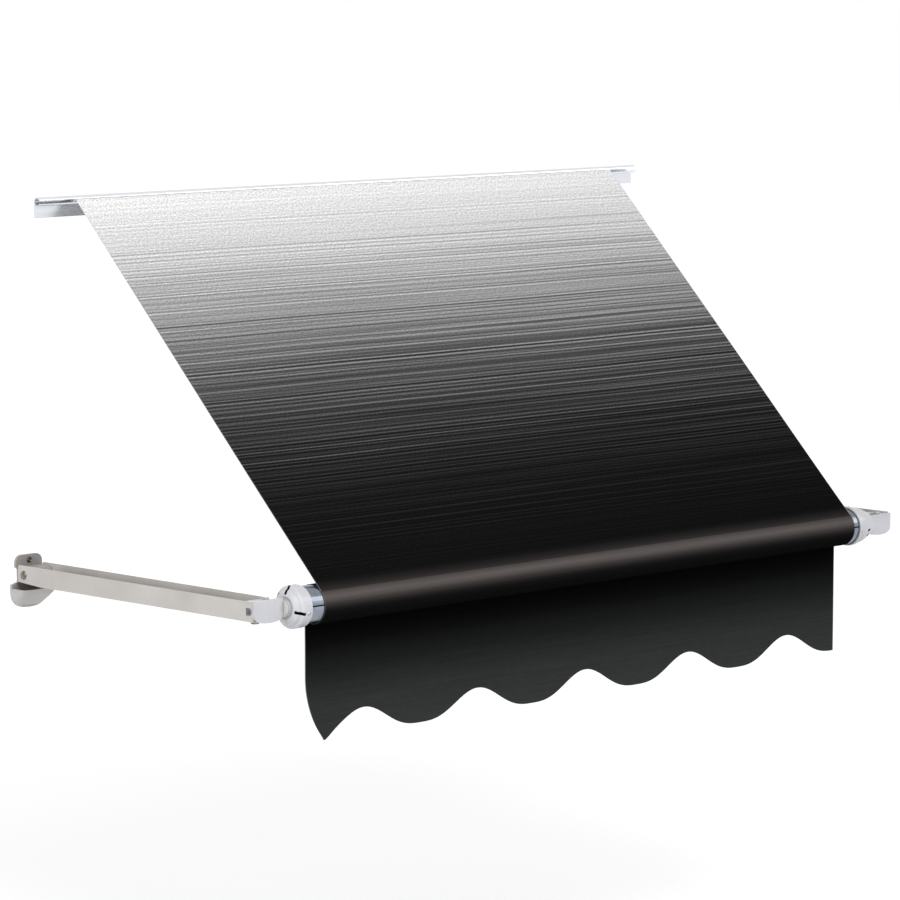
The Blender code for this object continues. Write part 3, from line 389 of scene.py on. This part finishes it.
def roller_offsets(tree):
    """A point's place along X, and its distances out from the roller's axis and up from it."""
    parts = tree.nodes.new("ShaderNodeSeparateXYZ")
    tree.links.new(object_place(tree), parts.inputs["Vector"])
    out = minus(tree, -ROLLER_OUT, parts.outputs["Y"])
    up = plus(tree, ROLLER_DROP, parts.outputs["Z"])
    return parts.outputs["X"], out, up


def hypotenuse(tree, first, second):
    squares = plus(tree, times(tree, first, first), times(tree, second, second))
    return maths(tree, "SQRT", squares)


def round_roller(tree):
    """Distance from the roller's axis, and the angle up from straight out as a share of a full turn."""
    _, out, up = roller_offsets(tree)
    turn = maths(tree, "DIVIDE", maths(tree, "ARCTAN2", up, out), 2 * math.pi)
    return hypotenuse(tree, out, up), turn


def within(tree, value, low, high):
    """1 where a value is between two limits, and 0 elsewhere."""
    above = maths(tree, "GREATER_THAN", value, low)
    return times(tree, above, maths(tree, "LESS_THAN", value, high))


def all_of(tree, *masks):
    result = masks[0]
    for mask in masks[1:]:
        result = times(tree, result, mask)
    return result


def along_angle(tree, angle):
    """How far a point lies from the roller's axis in this direction, and how far to the side of it."""
    _, out, up = roller_offsets(tree)
    sine, cosine = math.sin(angle), math.cos(angle)
    depth = plus(tree, times(tree, out, cosine), times(tree, up, sine))
    aside = minus(tree, times(tree, up, cosine), times(tree, out, sine))
    return depth, aside


def slot_mask(tree, angle):
    """1 inside the slots at one angle round both end caps."""
    x, _, _ = roller_offsets(tree)
    depth, aside = along_angle(tree, angle)
    near = maths(tree, "LESS_THAN", maths(tree, "ABSOLUTE", aside), SLOT_HALF_WIDTH)
    deep = maths(tree, "GREATER_THAN", depth, OPENING_FLOOR)
    left = within(tree, times(tree, x, -1.0), *LEFT_SLOT_RANGE)
    right = within(tree, x, *RIGHT_SLOT_RANGE)
    return all_of(tree, near, deep, maths(tree, "MAXIMUM", left, right))


def face_hole_mask(tree):
    """1 inside the hole that goes along X through the left cap's face."""
    x, out, up = roller_offsets(tree)
    hole_out = minus(tree, out, FACE_HOLE_DISTANCE * math.cos(FACE_HOLE_ANGLE))
    hole_up = minus(tree, up, FACE_HOLE_DISTANCE * math.sin(FACE_HOLE_ANGLE))
    near = maths(tree, "LESS_THAN", hypotenuse(tree, hole_out, hole_up), HOLE_RADIUS)
    return all_of(tree, near, within(tree, times(tree, x, -1.0), *FACE_HOLE_RANGE))


def side_hole_mask(tree):
    """1 inside the hole that goes towards the axis through the right cap's side."""
    x, _, _ = roller_offsets(tree)
    depth, aside = along_angle(tree, SIDE_HOLE_ANGLE)
    from_hole = hypotenuse(tree, minus(tree, x, SIDE_HOLE_X), aside)
    near = maths(tree, "LESS_THAN", from_hole, HOLE_RADIUS)
    return all_of(tree, near, maths(tree, "GREATER_THAN", depth, OPENING_FLOOR))


def cap_openings(tree):
    """A mask of the inner walls of the end caps' slots and holes, where shade is painted."""
    openings = maths(tree, "MAXIMUM", face_hole_mask(tree), side_hole_mask(tree))
    for angle in SLOT_ANGLES:
        openings = maths(tree, "MAXIMUM", openings, slot_mask(tree, angle))
    return openings


def roll_material():
    """The black end of the fade, wound on the roller, with a painted warm highlight along its upper
    front.
    """
    material, tree, shader = new_material("roll_black", grey(14), roughness=0.6, specular=0.0)
    place, across, along = cloth_place(tree)
    _, turn = round_roller(tree)
    # Painted highlight: a warm grey band set by the angle round the roll, which turns with the cloth.
    painted_sheen = colour_ramp(
        tree,
        spread(tree, turn, -30 / 360, 90 / 360),
        [
            (0.00, rgb(17, 17, 17)),
            (0.12, rgb(22, 21, 21)),
            (0.20, rgb(34, 33, 32)),
            (0.30, rgb(58, 54, 53)),
            (0.38, rgb(79, 75, 73)),
            (0.46, rgb(90, 85, 83)),
            (0.54, rgb(80, 76, 74)),
            (0.63, rgb(62, 59, 58)),
            (0.74, rgb(40, 38, 38)),
            (0.86, rgb(25, 24, 24)),
            (1.00, rgb(17, 17, 17)),
        ],
    )
    streaks = streaky(tree, place, (3.0, 320.0, 1.0), detail=2.0, roughness=0.5)
    grain = streaky(tree, place, (300.0, 300.0, 1.0), detail=1.0, roughness=0.5)
    swing = plus(tree, centred(tree, streaks, 0.3), centred(tree, grain, 0.3))
    black = scaled(tree, painted_sheen, plus(tree, 1.0, swing))
    edged = mixed(tree, times(tree, pale_edge(tree, across), PALE_EDGE_STRENGTH), black, grey(120))
    tree.links.new(edged, shader.inputs["Base Color"])
    add_bump(tree, shader, weave_height(tree, place, across, along), depth=0.00010, strength=0.15)
    return material


def valance_material():
    """Black cloth with a painted ramp of shade and light: near black under the roll, greyer towards its
    scalloped edge.
    """
    material, tree, shader = new_material("valance_black", grey(40), roughness=0.8, specular=0.0)
    place, across, along = cloth_place(tree)
    share = maths(tree, "DIVIDE", along, VALANCE_DROP + ROLL_RADIUS)
    # Painted shade at the top under the roll, painted light lower down towards the edge.
    fade = colour_ramp(
        tree,
        share,
        [
            (0.0, rgb(9, 9, 9)),
            (0.18, rgb(14, 15, 14)),
            (0.36, rgb(29, 31, 30)),
            (0.60, rgb(48, 50, 49)),
            (1.0, rgb(58, 60, 59)),
        ],
    )
    mottle = streaky(tree, place, (60.0, 60.0, 1.0), detail=4.0, roughness=0.6)
    streaks = streaky(tree, place, (4.0, 300.0, 1.0), detail=2.0, roughness=0.5)
    grain = streaky(tree, place, (420.0, 420.0, 1.0), detail=1.0, roughness=0.5)
    swing = plus(tree, centred(tree, mottle, 0.25), centred(tree, streaks, 0.5))
    swing = plus(tree, swing, centred(tree, grain, 0.4))
    varied = scaled(tree, fade, plus(tree, 1.0, swing))
    edged = mixed(tree, pale_edge(tree, across), varied, grey(150))
    tree.links.new(edged, shader.inputs["Base Color"])
    add_bump(tree, shader, weave_height(tree, place, across, along), depth=0.00012, strength=0.35)
    return material


def rail_material():
    """Bright extruded aluminium, with fine draw lines along X."""
    silver = rgb(222, 225, 230)
    material, tree, shader = new_material("extruded_aluminium", silver, roughness=0.26, metallic=1.0)
    lines = streaky(tree, object_place(tree), (3.0, 1400.0, 1400.0), detail=2.0, roughness=0.5)
    blotches = noise(tree, object_place(tree), 18.0, detail=3.0, roughness=0.5)
    level = plus(tree, times(tree, lines, 0.12), times(tree, blotches, 0.10))
    tree.links.new(spread(tree, level, 0.0, 0.22, 0.18, 0.36), shader.inputs["Roughness"])
    tint = colour_ramp(tree, lines, [(0.3, rgb(205, 208, 214)), (0.7, rgb(235, 237, 240))])
    tree.links.new(tint, shader.inputs["Base Color"])
    add_bump(tree, shader, lines, depth=0.00004, strength=0.4)
    return material


def tube_material():
    """Polished aluminium with a faint blue-grey cast and hairline turning marks."""
    silver = rgb(140, 148, 160)
    material, tree, shader = new_material("polished_aluminium", silver, roughness=0.22, metallic=1.0)
    lines = streaky(tree, object_place(tree), (2.0, 900.0, 900.0), detail=2.0, roughness=0.5)
    smears = noise(tree, object_place(tree), 35.0, detail=3.0, roughness=0.55)
    tint = colour_ramp(tree, smears, [(0.3, rgb(104, 110, 120)), (0.7, rgb(142, 149, 160))])
    # Painted shade: near black in the grooves and the bore.
    radius, _ = round_roller(tree)
    unshaded = spread(tree, radius, TUBE_RADIUS - TUBE_SHADE_DEPTH, TUBE_RADIUS - TUBE_BRIGHT_DEPTH)
    tree.links.new(mixed(tree, unshaded, rgb(20, 22, 25), tint), shader.inputs["Base Color"])
    tree.links.new(spread(tree, smears, 0.3, 0.7, 0.18, 0.28), shader.inputs["Roughness"])
    add_bump(tree, shader, lines, depth=0.00003, strength=0.35)
    return material


def arm_material():
    """Warm light-grey enamel with a faint orange-peel, and painted shade in its corners and channel."""
    material, tree, shader = new_material("arm_enamel", rgb(192, 189, 184), roughness=0.42)
    place = object_place(tree)
    cloud = noise(tree, place, 9.0, detail=4.0, roughness=0.55)
    speckle = noise(tree, place, 420.0, detail=2.0, roughness=0.6)
    tone = plus(tree, times(tree, cloud, 0.75), times(tree, speckle, 0.25))
    tint = colour_ramp(tree, tone, [(0.32, rgb(184, 180, 175)), (0.68, rgb(200, 197, 193))])
    # Painted shade in the channel and inner corners.
    tint = hollow_shaded(tree, tint, rgb(132, 128, 122), reach=0.04, low=0.45, high=0.92)
    tree.links.new(tint, shader.inputs["Base Color"])
    tree.links.new(spread(tree, cloud, 0.3, 0.7, 0.36, 0.50), shader.inputs["Roughness"])
    peel = noise(tree, place, 600.0, detail=2.0, roughness=0.5)
    add_bump(tree, shader, peel, depth=0.00005, strength=0.5)
    return material


def plastic_material():
    """Off-white moulded plastic, slightly glossy, with a fine spark texture."""
    material, tree, shader = new_material("moulded_white", rgb(204, 206, 211), roughness=0.36)
    place = object_place(tree)
    cloud = noise(tree, place, 14.0, detail=4.0, roughness=0.5)
    tint = colour_ramp(tree, cloud, [(0.3, rgb(190, 190, 193)), (0.7, rgb(204, 206, 212))])
    hollow_shade = rgb(142, 137, 128)
    # Painted shade in creases, also where other parts come close.
    tint = hollow_shaded(tree, tint, hollow_shade, reach=0.018, low=0.35, high=0.92, own_only=False)
    # Painted shade inside the caps' slots and holes.
    shaded = mixed(tree, cap_openings(tree), tint, rgb(14, 13, 12))
    tree.links.new(shaded, shader.inputs["Base Color"])
    smears = noise(tree, place, 60.0, detail=3.0, roughness=0.6)
    gloss = spread(tree, smears, 0.3, 0.7, 0.29, 0.44)
    tree.links.new(gloss, shader.inputs["Roughness"])
    texture = noise(tree, place, 900.0, detail=2.0, roughness=0.5)
    add_bump(tree, shader, texture, depth=0.00003, strength=0.5)
    shader.inputs["Coat Weight"].default_value = 0.15
    shader.inputs["Coat Roughness"].default_value = 0.25
    return material


def bracket_material():
    """Fine textured grey coating on the wall brackets."""
    material, tree, shader = new_material("bracket_coating", rgb(178, 176, 173), roughness=0.5)
    place = object_place(tree)
    cloud = noise(tree, place, 12.0, detail=4.0, roughness=0.55)
    pits = noise(tree, place, 700.0, detail=3.0, roughness=0.65)
    tone = plus(tree, times(tree, cloud, 0.6), times(tree, pits, 0.4))
    tint = colour_ramp(tree, tone, [(0.3, rgb(160, 158, 155)), (0.7, rgb(194, 192, 189))])
    # Painted shade on the upper tab and painted light on the cup below it, set by height.
    parts = tree.nodes.new("ShaderNodeSeparateXYZ")
    tree.links.new(place, parts.inputs["Vector"])
    heights = (BRACKET_SHADED_TOP, BRACKET_LIT_BOTTOM)
    painted_light_level = spread(tree, parts.outputs["Z"], *heights, BRACKET_SHADED_LEVEL, BRACKET_LIT_LEVEL)
    hollow_shade = rgb(136, 126, 121)
    # Painted shade inside the cup and other hollows.
    tint = hollow_shaded(tree, scaled(tree, tint, painted_light_level), hollow_shade, reach=0.05, low=0.3, high=0.9)
    tree.links.new(tint, shader.inputs["Base Color"])
    tree.links.new(spread(tree, pits, 0.3, 0.7, 0.42, 0.58), shader.inputs["Roughness"])
    add_bump(tree, shader, pits, depth=0.00010, strength=0.6)
    return material


def steel_material(name, dark, light, roughness):
    """Plain or plated steel with turning marks and small stains."""
    material, tree, shader = new_material(name, light, roughness, metallic=1.0)
    place = object_place(tree)
    stains = noise(tree, place, 160.0, detail=4.0, roughness=0.6)
    tint = colour_ramp(tree, stains, [(0.35, dark), (0.65, light)])
    tree.links.new(tint, shader.inputs["Base Color"])
    marks = noise(tree, place, 420.0, detail=2.0, roughness=0.5)
    gloss = spread(tree, marks, 0.3, 0.7, roughness - 0.08, roughness + 0.12)
    tree.links.new(gloss, shader.inputs["Roughness"])
    grain = noise(tree, place, 1500.0, detail=2.0, roughness=0.5)
    add_bump(tree, shader, grain, depth=0.00003, strength=0.4)
    return material


def nylon_material():
    """Milky nylon of the bushes and thrust washers."""
    material, tree, shader = new_material("natural_nylon", rgb(200, 200, 199), roughness=0.5)
    cloud = noise(tree, object_place(tree), 60.0, detail=3.0, roughness=0.5)
    tint = colour_ramp(tree, cloud, [(0.3, rgb(190, 190, 187)), (0.7, rgb(208, 209, 209))])
    tree.links.new(tint, shader.inputs["Base Color"])
    shader.inputs["Subsurface Weight"].default_value = 0.1
    shader.inputs["Subsurface Radius"].default_value = (0.002, 0.002, 0.0015)
    return material


def bead_material():
    """The plain plastic cord in the cloth's hems, with a faint extrusion line."""
    material, tree, shader = new_material("bead_cord", grey(190), roughness=0.5)
    lines = streaky(tree, object_place(tree), (5.0, 900.0, 900.0), detail=2.0, roughness=0.5)
    tint = colour_ramp(tree, lines, [(0.3, grey(176)), (0.7, grey(200))])
    tree.links.new(tint, shader.inputs["Base Color"])
    return material


def dress_frame():
    """Gives each CAD node the finish of its material slot."""
    finishes = {
        "rail_aluminium": rail_material(),
        "tube_aluminium": tube_material(),
        "arm_paint": arm_material(),
        "white_plastic": plastic_material(),
        "bracket_paint": bracket_material(),
        "steel": steel_material("plain_steel", rgb(92, 86, 76), rgb(146, 139, 127), 0.34),
        "zinc_screw": steel_material("zinc_plate", rgb(52, 46, 38), rgb(116, 105, 90), 0.36),
        "nylon": nylon_material(),
        "bead_plastic": bead_material(),
    }
    # Pieces that look different from the rest of their slot, by what their names hold
    special = {
        "cap_screw": steel_material("bright_zinc", rgb(128, 126, 122), rgb(204, 202, 198), 0.34),
        "head_clip": steel_material("brushed_steel", rgb(78, 81, 84), rgb(136, 140, 144), 0.34),
        "head_button": steel_material("button_zinc", rgb(70, 63, 53), rgb(150, 140, 124), 0.40),
    }
    for entry in frame["record"]["subparts"]:
        if entry["material_slot"] in finishes:
            node = frame["nodes"][entry["node"]]
            node.data.materials.clear()
            own = [finish for part, finish in special.items() if part in entry["node"]]
            node.data.materials.append(own[0] if own else finishes[entry["material_slot"]])


def wave(x, y, seed):
    """A smooth, uneven ripple between about -1 and 1."""
    first = math.sin(7.3 * x + 1.9 * seed + 2.1 * math.sin(3.1 * y + seed))
    second = math.sin(15.7 * x - 5.3 * y + 2.7 * seed)
    third = math.sin(3.9 * x + 8.7 * y + 0.8 * seed)
    return 0.5 * first + 0.25 * second + 0.25 * third


def hem_loop(channel, start):
    """Points round the cord in the rail's channel, and out through its mouth towards the slope."""
    tail = start - channel
    tail_angle = math.atan2(tail.y, tail.x)
    radius = HEM_RADIUS - CLOTH / 2
    open_by = HEM_OPENING / radius
    points = []
    for k in range(HEM_ROWS + 1):
        angle = tail_angle + open_by + (2 * math.pi - open_by) * k / HEM_ROWS
        points.append(channel + radius * Vector((math.cos(angle), math.sin(angle))))
    for share in MOUTH_SHARES:
        points.append(points[HEM_ROWS].lerp(start, share))
    return points


def canopy_path():
    """The canopy's middle line as (out, height) points: hem loop, rail mouth and slope.

    Also returns the number of the slope's first point, and the direction square to the slope.
    """
    start = Vector((START_OUT, RAIL_TOP - START_DROP))
    roller = Vector((ROLLER_OUT, -ROLLER_DROP))
    channel = Vector((CHANNEL_OUT, RAIL_TOP - CHANNEL_DROP))
    radius = ROLL_RADIUS - CLOTH / 2
    reach = roller - start
    slope = math.atan2(reach.y, reach.x) + math.asin(radius / reach.length)
    along = Vector((math.cos(slope), math.sin(slope)))
    across = Vector((-along.y, along.x))
    bent = start + along * BEND_LENGTH
    touch = roller + across * radius - along * SHEET_GAP
    points = hem_loop(channel, start)
    slope_start = len(points)
    for k in range(SLOPE_ROWS + 1):
        points.append(bent.lerp(touch, k / SLOPE_ROWS))
    return points, slope_start, across


def thin_sheet(name, pairs, flat, material):
    """A closed thin sheet from a grid of point pairs, and where each pair lies on the flat cloth."""
    shape = bmesh.new()
    uv = shape.loops.layers.uv.new("cloth")
    grid = [[[shape.verts.new(point) for point in pair] for pair in column] for column in pairs]

    def face(*corners):
        made = shape.faces.new([grid[i][j][side] for i, j, side in corners])
        for loop, (i, j, _) in zip(made.loops, corners):
            loop[uv].uv = flat[i][j]

    columns = len(grid) - 1
    rows = len(grid[0]) - 1
    for i in range(columns):
        for j in range(rows):
            face((i, j, 0), (i + 1, j, 0), (i + 1, j + 1, 0), (i, j + 1, 0))
            face((i, j, 1), (i, j + 1, 1), (i + 1, j + 1, 1), (i + 1, j, 1))
    for i in range(columns):
        for j in (0, rows):
            face((i, j, 0), (i, j, 1), (i + 1, j, 1), (i + 1, j, 0))
    for j in range(rows):
        for i in (0, columns):
            face((i, j, 0), (i, j + 1, 0), (i, j + 1, 1), (i, j, 1))
    return finished(name, shape, material)


def finished(name, shape, material):
    """The piece made of a shape, with its faces turned outwards and its sharp edges kept."""
    bmesh.ops.recalc_face_normals(shape, faces=shape.faces)
    mesh = bpy.data.meshes.new(name)
    shape.to_mesh(mesh)
    shape.free()
    mesh.shade_smooth()
    mesh.set_sharp_from_angle(angle=SHARP_ANGLE)
    mesh.materials.append(material)
    piece = bpy.data.objects.new(name, mesh)
    bpy.context.collection.objects.link(piece)
    return piece


def ribbon(name, points, material, columns, lift=None):
    """A line of (out, height) points, drawn across the cloth's width. Also returns its length."""
    distances = [0.0]
    for first, second in zip(points, points[1:]):
        distances.append(distances[-1] + (second - first).length)
    normals = line_normals(points)
    pairs = []
    flat = []
    for i in range(columns + 1):
        x = CLOTH_WIDTH * (i / columns - 0.5)
        column = []
        for point, normal, distance in zip(points, normals, distances):
            raised = lift(x, distance) if lift else 0.0
            sides = [point + normal * (raised + side * RIBBON_THICKNESS) for side in (0.5, -0.5)]
            column.append([(x, -place.x, place.y) for place in sides])
        pairs.append(column)
        flat.append([(CLOTH_WIDTH * i / columns, distance) for distance in distances])
    return thin_sheet(name, pairs, flat, material), distances[-1]


def line_normals(points):
    """A unit normal at each point of a line, to the left of its direction."""
    normals = []
    for k in range(len(points)):
        run = points[min(k + 1, len(points) - 1)] - points[max(k - 1, 0)]
        normals.append(Vector((-run.y, run.x)).normalized())
    return normals


def path_length(points):
    return sum((second - first).length for first, second in zip(points, points[1:]))


def make_canopy():
    points, slope_start, _ = canopy_path()
    length = path_length(points)
    before = path_length(points[: slope_start + 1])
    slope = length - before

    def lift(x, distance):
        share = (distance - before) / slope
        if share <= 0:
            return 0.0
        hold = math.sin(math.pi * share) ** BILLOW_POWER
        return BILLOW * hold * (wave(x, distance, seed=1.0) - BILLOW_SAG)

    material = canopy_material(length)
    canopy, length = ribbon("canopy_cloth", points, material, CANOPY_COLUMNS, lift)
    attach(canopy, "root")
    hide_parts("canopy")
    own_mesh(canopy)


def make_roll():
    """The turns of cloth on the tube: a spiral that takes over where the slope touches the roller."""
    _, _, across = canopy_path()
    touch_angle = math.atan2(across.y, across.x)
    outer = ROLL_RADIUS - CLOTH / 2
    steps = round(ROLL_TURNS * ROLL_STEPS_PER_TURN)
    points = []
    for k in range(steps + 1):
        turn = k / ROLL_STEPS_PER_TURN
        radius = outer - CLOTH * turn
        angle = touch_angle - 2 * math.pi * turn
        out = ROLLER_OUT + radius * math.cos(angle)
        height = -ROLLER_DROP + radius * math.sin(angle)
        points.append(Vector((out, height)))
    roll, length = ribbon("rolled_cloth", points, roll_material(), ROLL_COLUMNS)
    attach(roll, "roller")
    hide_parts("cloth_turns")


def scallop(x):
    """Height of the valance's lower edge above its lowest points."""
    phase = 2 * math.pi * SCALLOPS * (x / CLOTH_WIDTH + 0.5)
    return SCALLOP_DEPTH * ((1 - math.cos(phase)) / 2) ** SCALLOP_POWER


def curl(x, depth):
    """How far out and up the lower left corner of the valance lifts, with the cloth's length kept."""
    from_edge = (x + CLOTH_WIDTH / 2) / CURL_WIDTH
    run = depth - (VALANCE_DROP - CURL_HEIGHT)
    if from_edge >= 1 or run <= 0:
        return 0.0, 0.0
    bend = 2 * CURL_OUT * (1 - from_edge) ** 2 / CURL_HEIGHT**2
    lean = bend * run
    rise = run - (lean * math.sqrt(1 - lean**2) + math.asin(lean)) / (2 * bend)
    return bend * run**2 / 2, rise


def valance_grid(top_out, top, bottom):
    """Point pairs of the hanging valance, and their places on the flat cloth."""
    pairs = []
    flat = []
    for i in range(VALANCE_COLUMNS + 1):
        x = CLOTH_WIDTH * (i / VALANCE_COLUMNS - 0.5)
        low = bottom + scallop(x)
        column = []
        places = []
        for j in range(VALANCE_ROWS + 1):
            z = top + (low - top) * j / VALANCE_ROWS
            depth = -ROLLER_DROP - ROLL_RADIUS - z
            hang = max(0.0, depth / VALANCE_DROP)
            lifted, rise = curl(x, depth)
            ripple = VALANCE_WAVE * hang * wave(x * VALANCE_WAVE_STRETCH, z, seed=4.0)
            out = top_out - VALANCE_INSET + lifted + ripple
            column.append([(x, -out - side * VALANCE_THICKNESS, z + rise) for side in (0, 1)])
            places.append((x + CLOTH_WIDTH / 2, top - z))
        pairs.append(column)
        flat.append(places)
    return pairs, flat


def make_valance():
    top_out = ROLLER_OUT + (ROLL_RADIUS + SHEET_GAP) * math.cos(VALANCE_ANGLE)
    top = -ROLLER_DROP + (ROLL_RADIUS + SHEET_GAP) * math.sin(VALANCE_ANGLE)
    bottom = -ROLLER_DROP - ROLL_RADIUS - VALANCE_DROP
    pairs, flat = valance_grid(top_out, top, bottom)
    valance = thin_sheet("valance_cloth", pairs, flat, valance_material())
    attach(valance, "left_arm")
    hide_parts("valance")
    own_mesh(valance)


def make_camera():
    camera = bpy.data.objects.new("camera", bpy.data.cameras.new("camera"))
    camera.location = CAMERA_PLACE
    camera.rotation_euler = (CAMERA_PITCH, 0, CAMERA_YAW)
    camera.data.sensor_width = CAMERA_SENSOR
    camera.data.lens = CAMERA_LENS
    camera.data.clip_end = CAMERA_RANGE
    bpy.context.collection.objects.link(camera)
    bpy.context.scene.camera = camera


def make_lamp(name, place, target, size, power, colour=(1, 1, 1)):
    lamp = bpy.data.objects.new(name, bpy.data.lights.new(name, "AREA"))
    lamp.data.shape = "RECTANGLE"
    lamp.data.size, lamp.data.size_y = size
    lamp.data.energy = power
    lamp.data.color = colour
    lamp.location = place
    lamp.rotation_euler = (Vector(target) - Vector(place)).to_track_quat("-Z", "Y").to_euler()
    bpy.context.collection.objects.link(lamp)


def seen_rays(tree):
    """1 for rays that see a plain background: from the camera, or by a reflection or through glass."""
    path = tree.nodes.new("ShaderNodeLightPath").outputs
    gloss = maths(tree, "MAXIMUM", path["Is Glossy Ray"], path["Is Transmission Ray"])
    return maths(tree, "MAXIMUM", path["Is Camera Ray"], gloss)


def make_world():
    world = bpy.data.worlds.new("studio")
    bpy.context.scene.world = world
    world.use_nodes = True
    tree = world.node_tree
    background = tree.nodes["Background"]
    background.inputs["Strength"].default_value = 1.0
    shade = mixed(tree, seen_rays(tree), ROOM_LIGHT, WHITE)
    tree.links.new(shade, background.inputs["Color"])


def make_floor():
    """A plain pale floor that looks white where no shadow falls on it."""
    mesh = bpy.data.meshes.new("floor")
    half = FLOOR_SIZE / 2
    corners = [(-half, -half, 0), (half, -half, 0), (half, half, 0), (-half, half, 0)]
    mesh.from_pydata(corners, [], [(0, 1, 2, 3)])
    material = bpy.data.materials.new("pale_floor")
    material.use_nodes = True
    tree = material.node_tree
    shader = tree.nodes["Principled BSDF"]
    shader.inputs["Base Color"].default_value = (0.85, 0.85, 0.85, 1.0)
    shader.inputs["Roughness"].default_value = 0.9
    shader.inputs["Specular IOR Level"].default_value = 0.0
    shader.inputs["Emission Color"].default_value = WHITE
    away = tree.nodes.new("ShaderNodeVectorMath")
    away.operation = "LENGTH"
    tree.links.new(object_place(tree), away.inputs[0])
    # Weaker near the object, so that its shadow still shows on the floor.
    glow = spread(tree, away.outputs["Value"], FLOOR_NEAR, FLOOR_FAR, FLOOR_NEAR_GLOW, FLOOR_FAR_GLOW)
    tree.links.new(times(tree, seen_rays(tree), glow), shader.inputs["Emission Strength"])
    mesh.materials.append(material)
    floor = bpy.data.objects.new("floor", mesh)
    floor.location = (0, 0, FLOOR_Z)
    bpy.context.collection.objects.link(floor)


def make_studio():
    make_world()
    make_floor()
    middle = (0.0, -0.35, -0.4)
    warm = (1.0, 0.99, 0.98)
    cool = (0.97, 0.98, 1.0)
    make_lamp("key", (-1.6, -3.4, 2.6), middle, size=(1.8, 1.8), power=108, colour=warm)
    make_lamp("fill", (4.3, -3.8, 2.1), middle, size=(3.0, 2.4), power=62, colour=cool)
    make_lamp("side", (-3.4, -0.6, 0.4), middle, size=(1.5, 1.5), power=31)
    bpy.context.scene.view_settings.view_transform = "Standard"


make_camera()
dress_frame()
make_canopy()
make_roll()
make_valance()
make_studio()
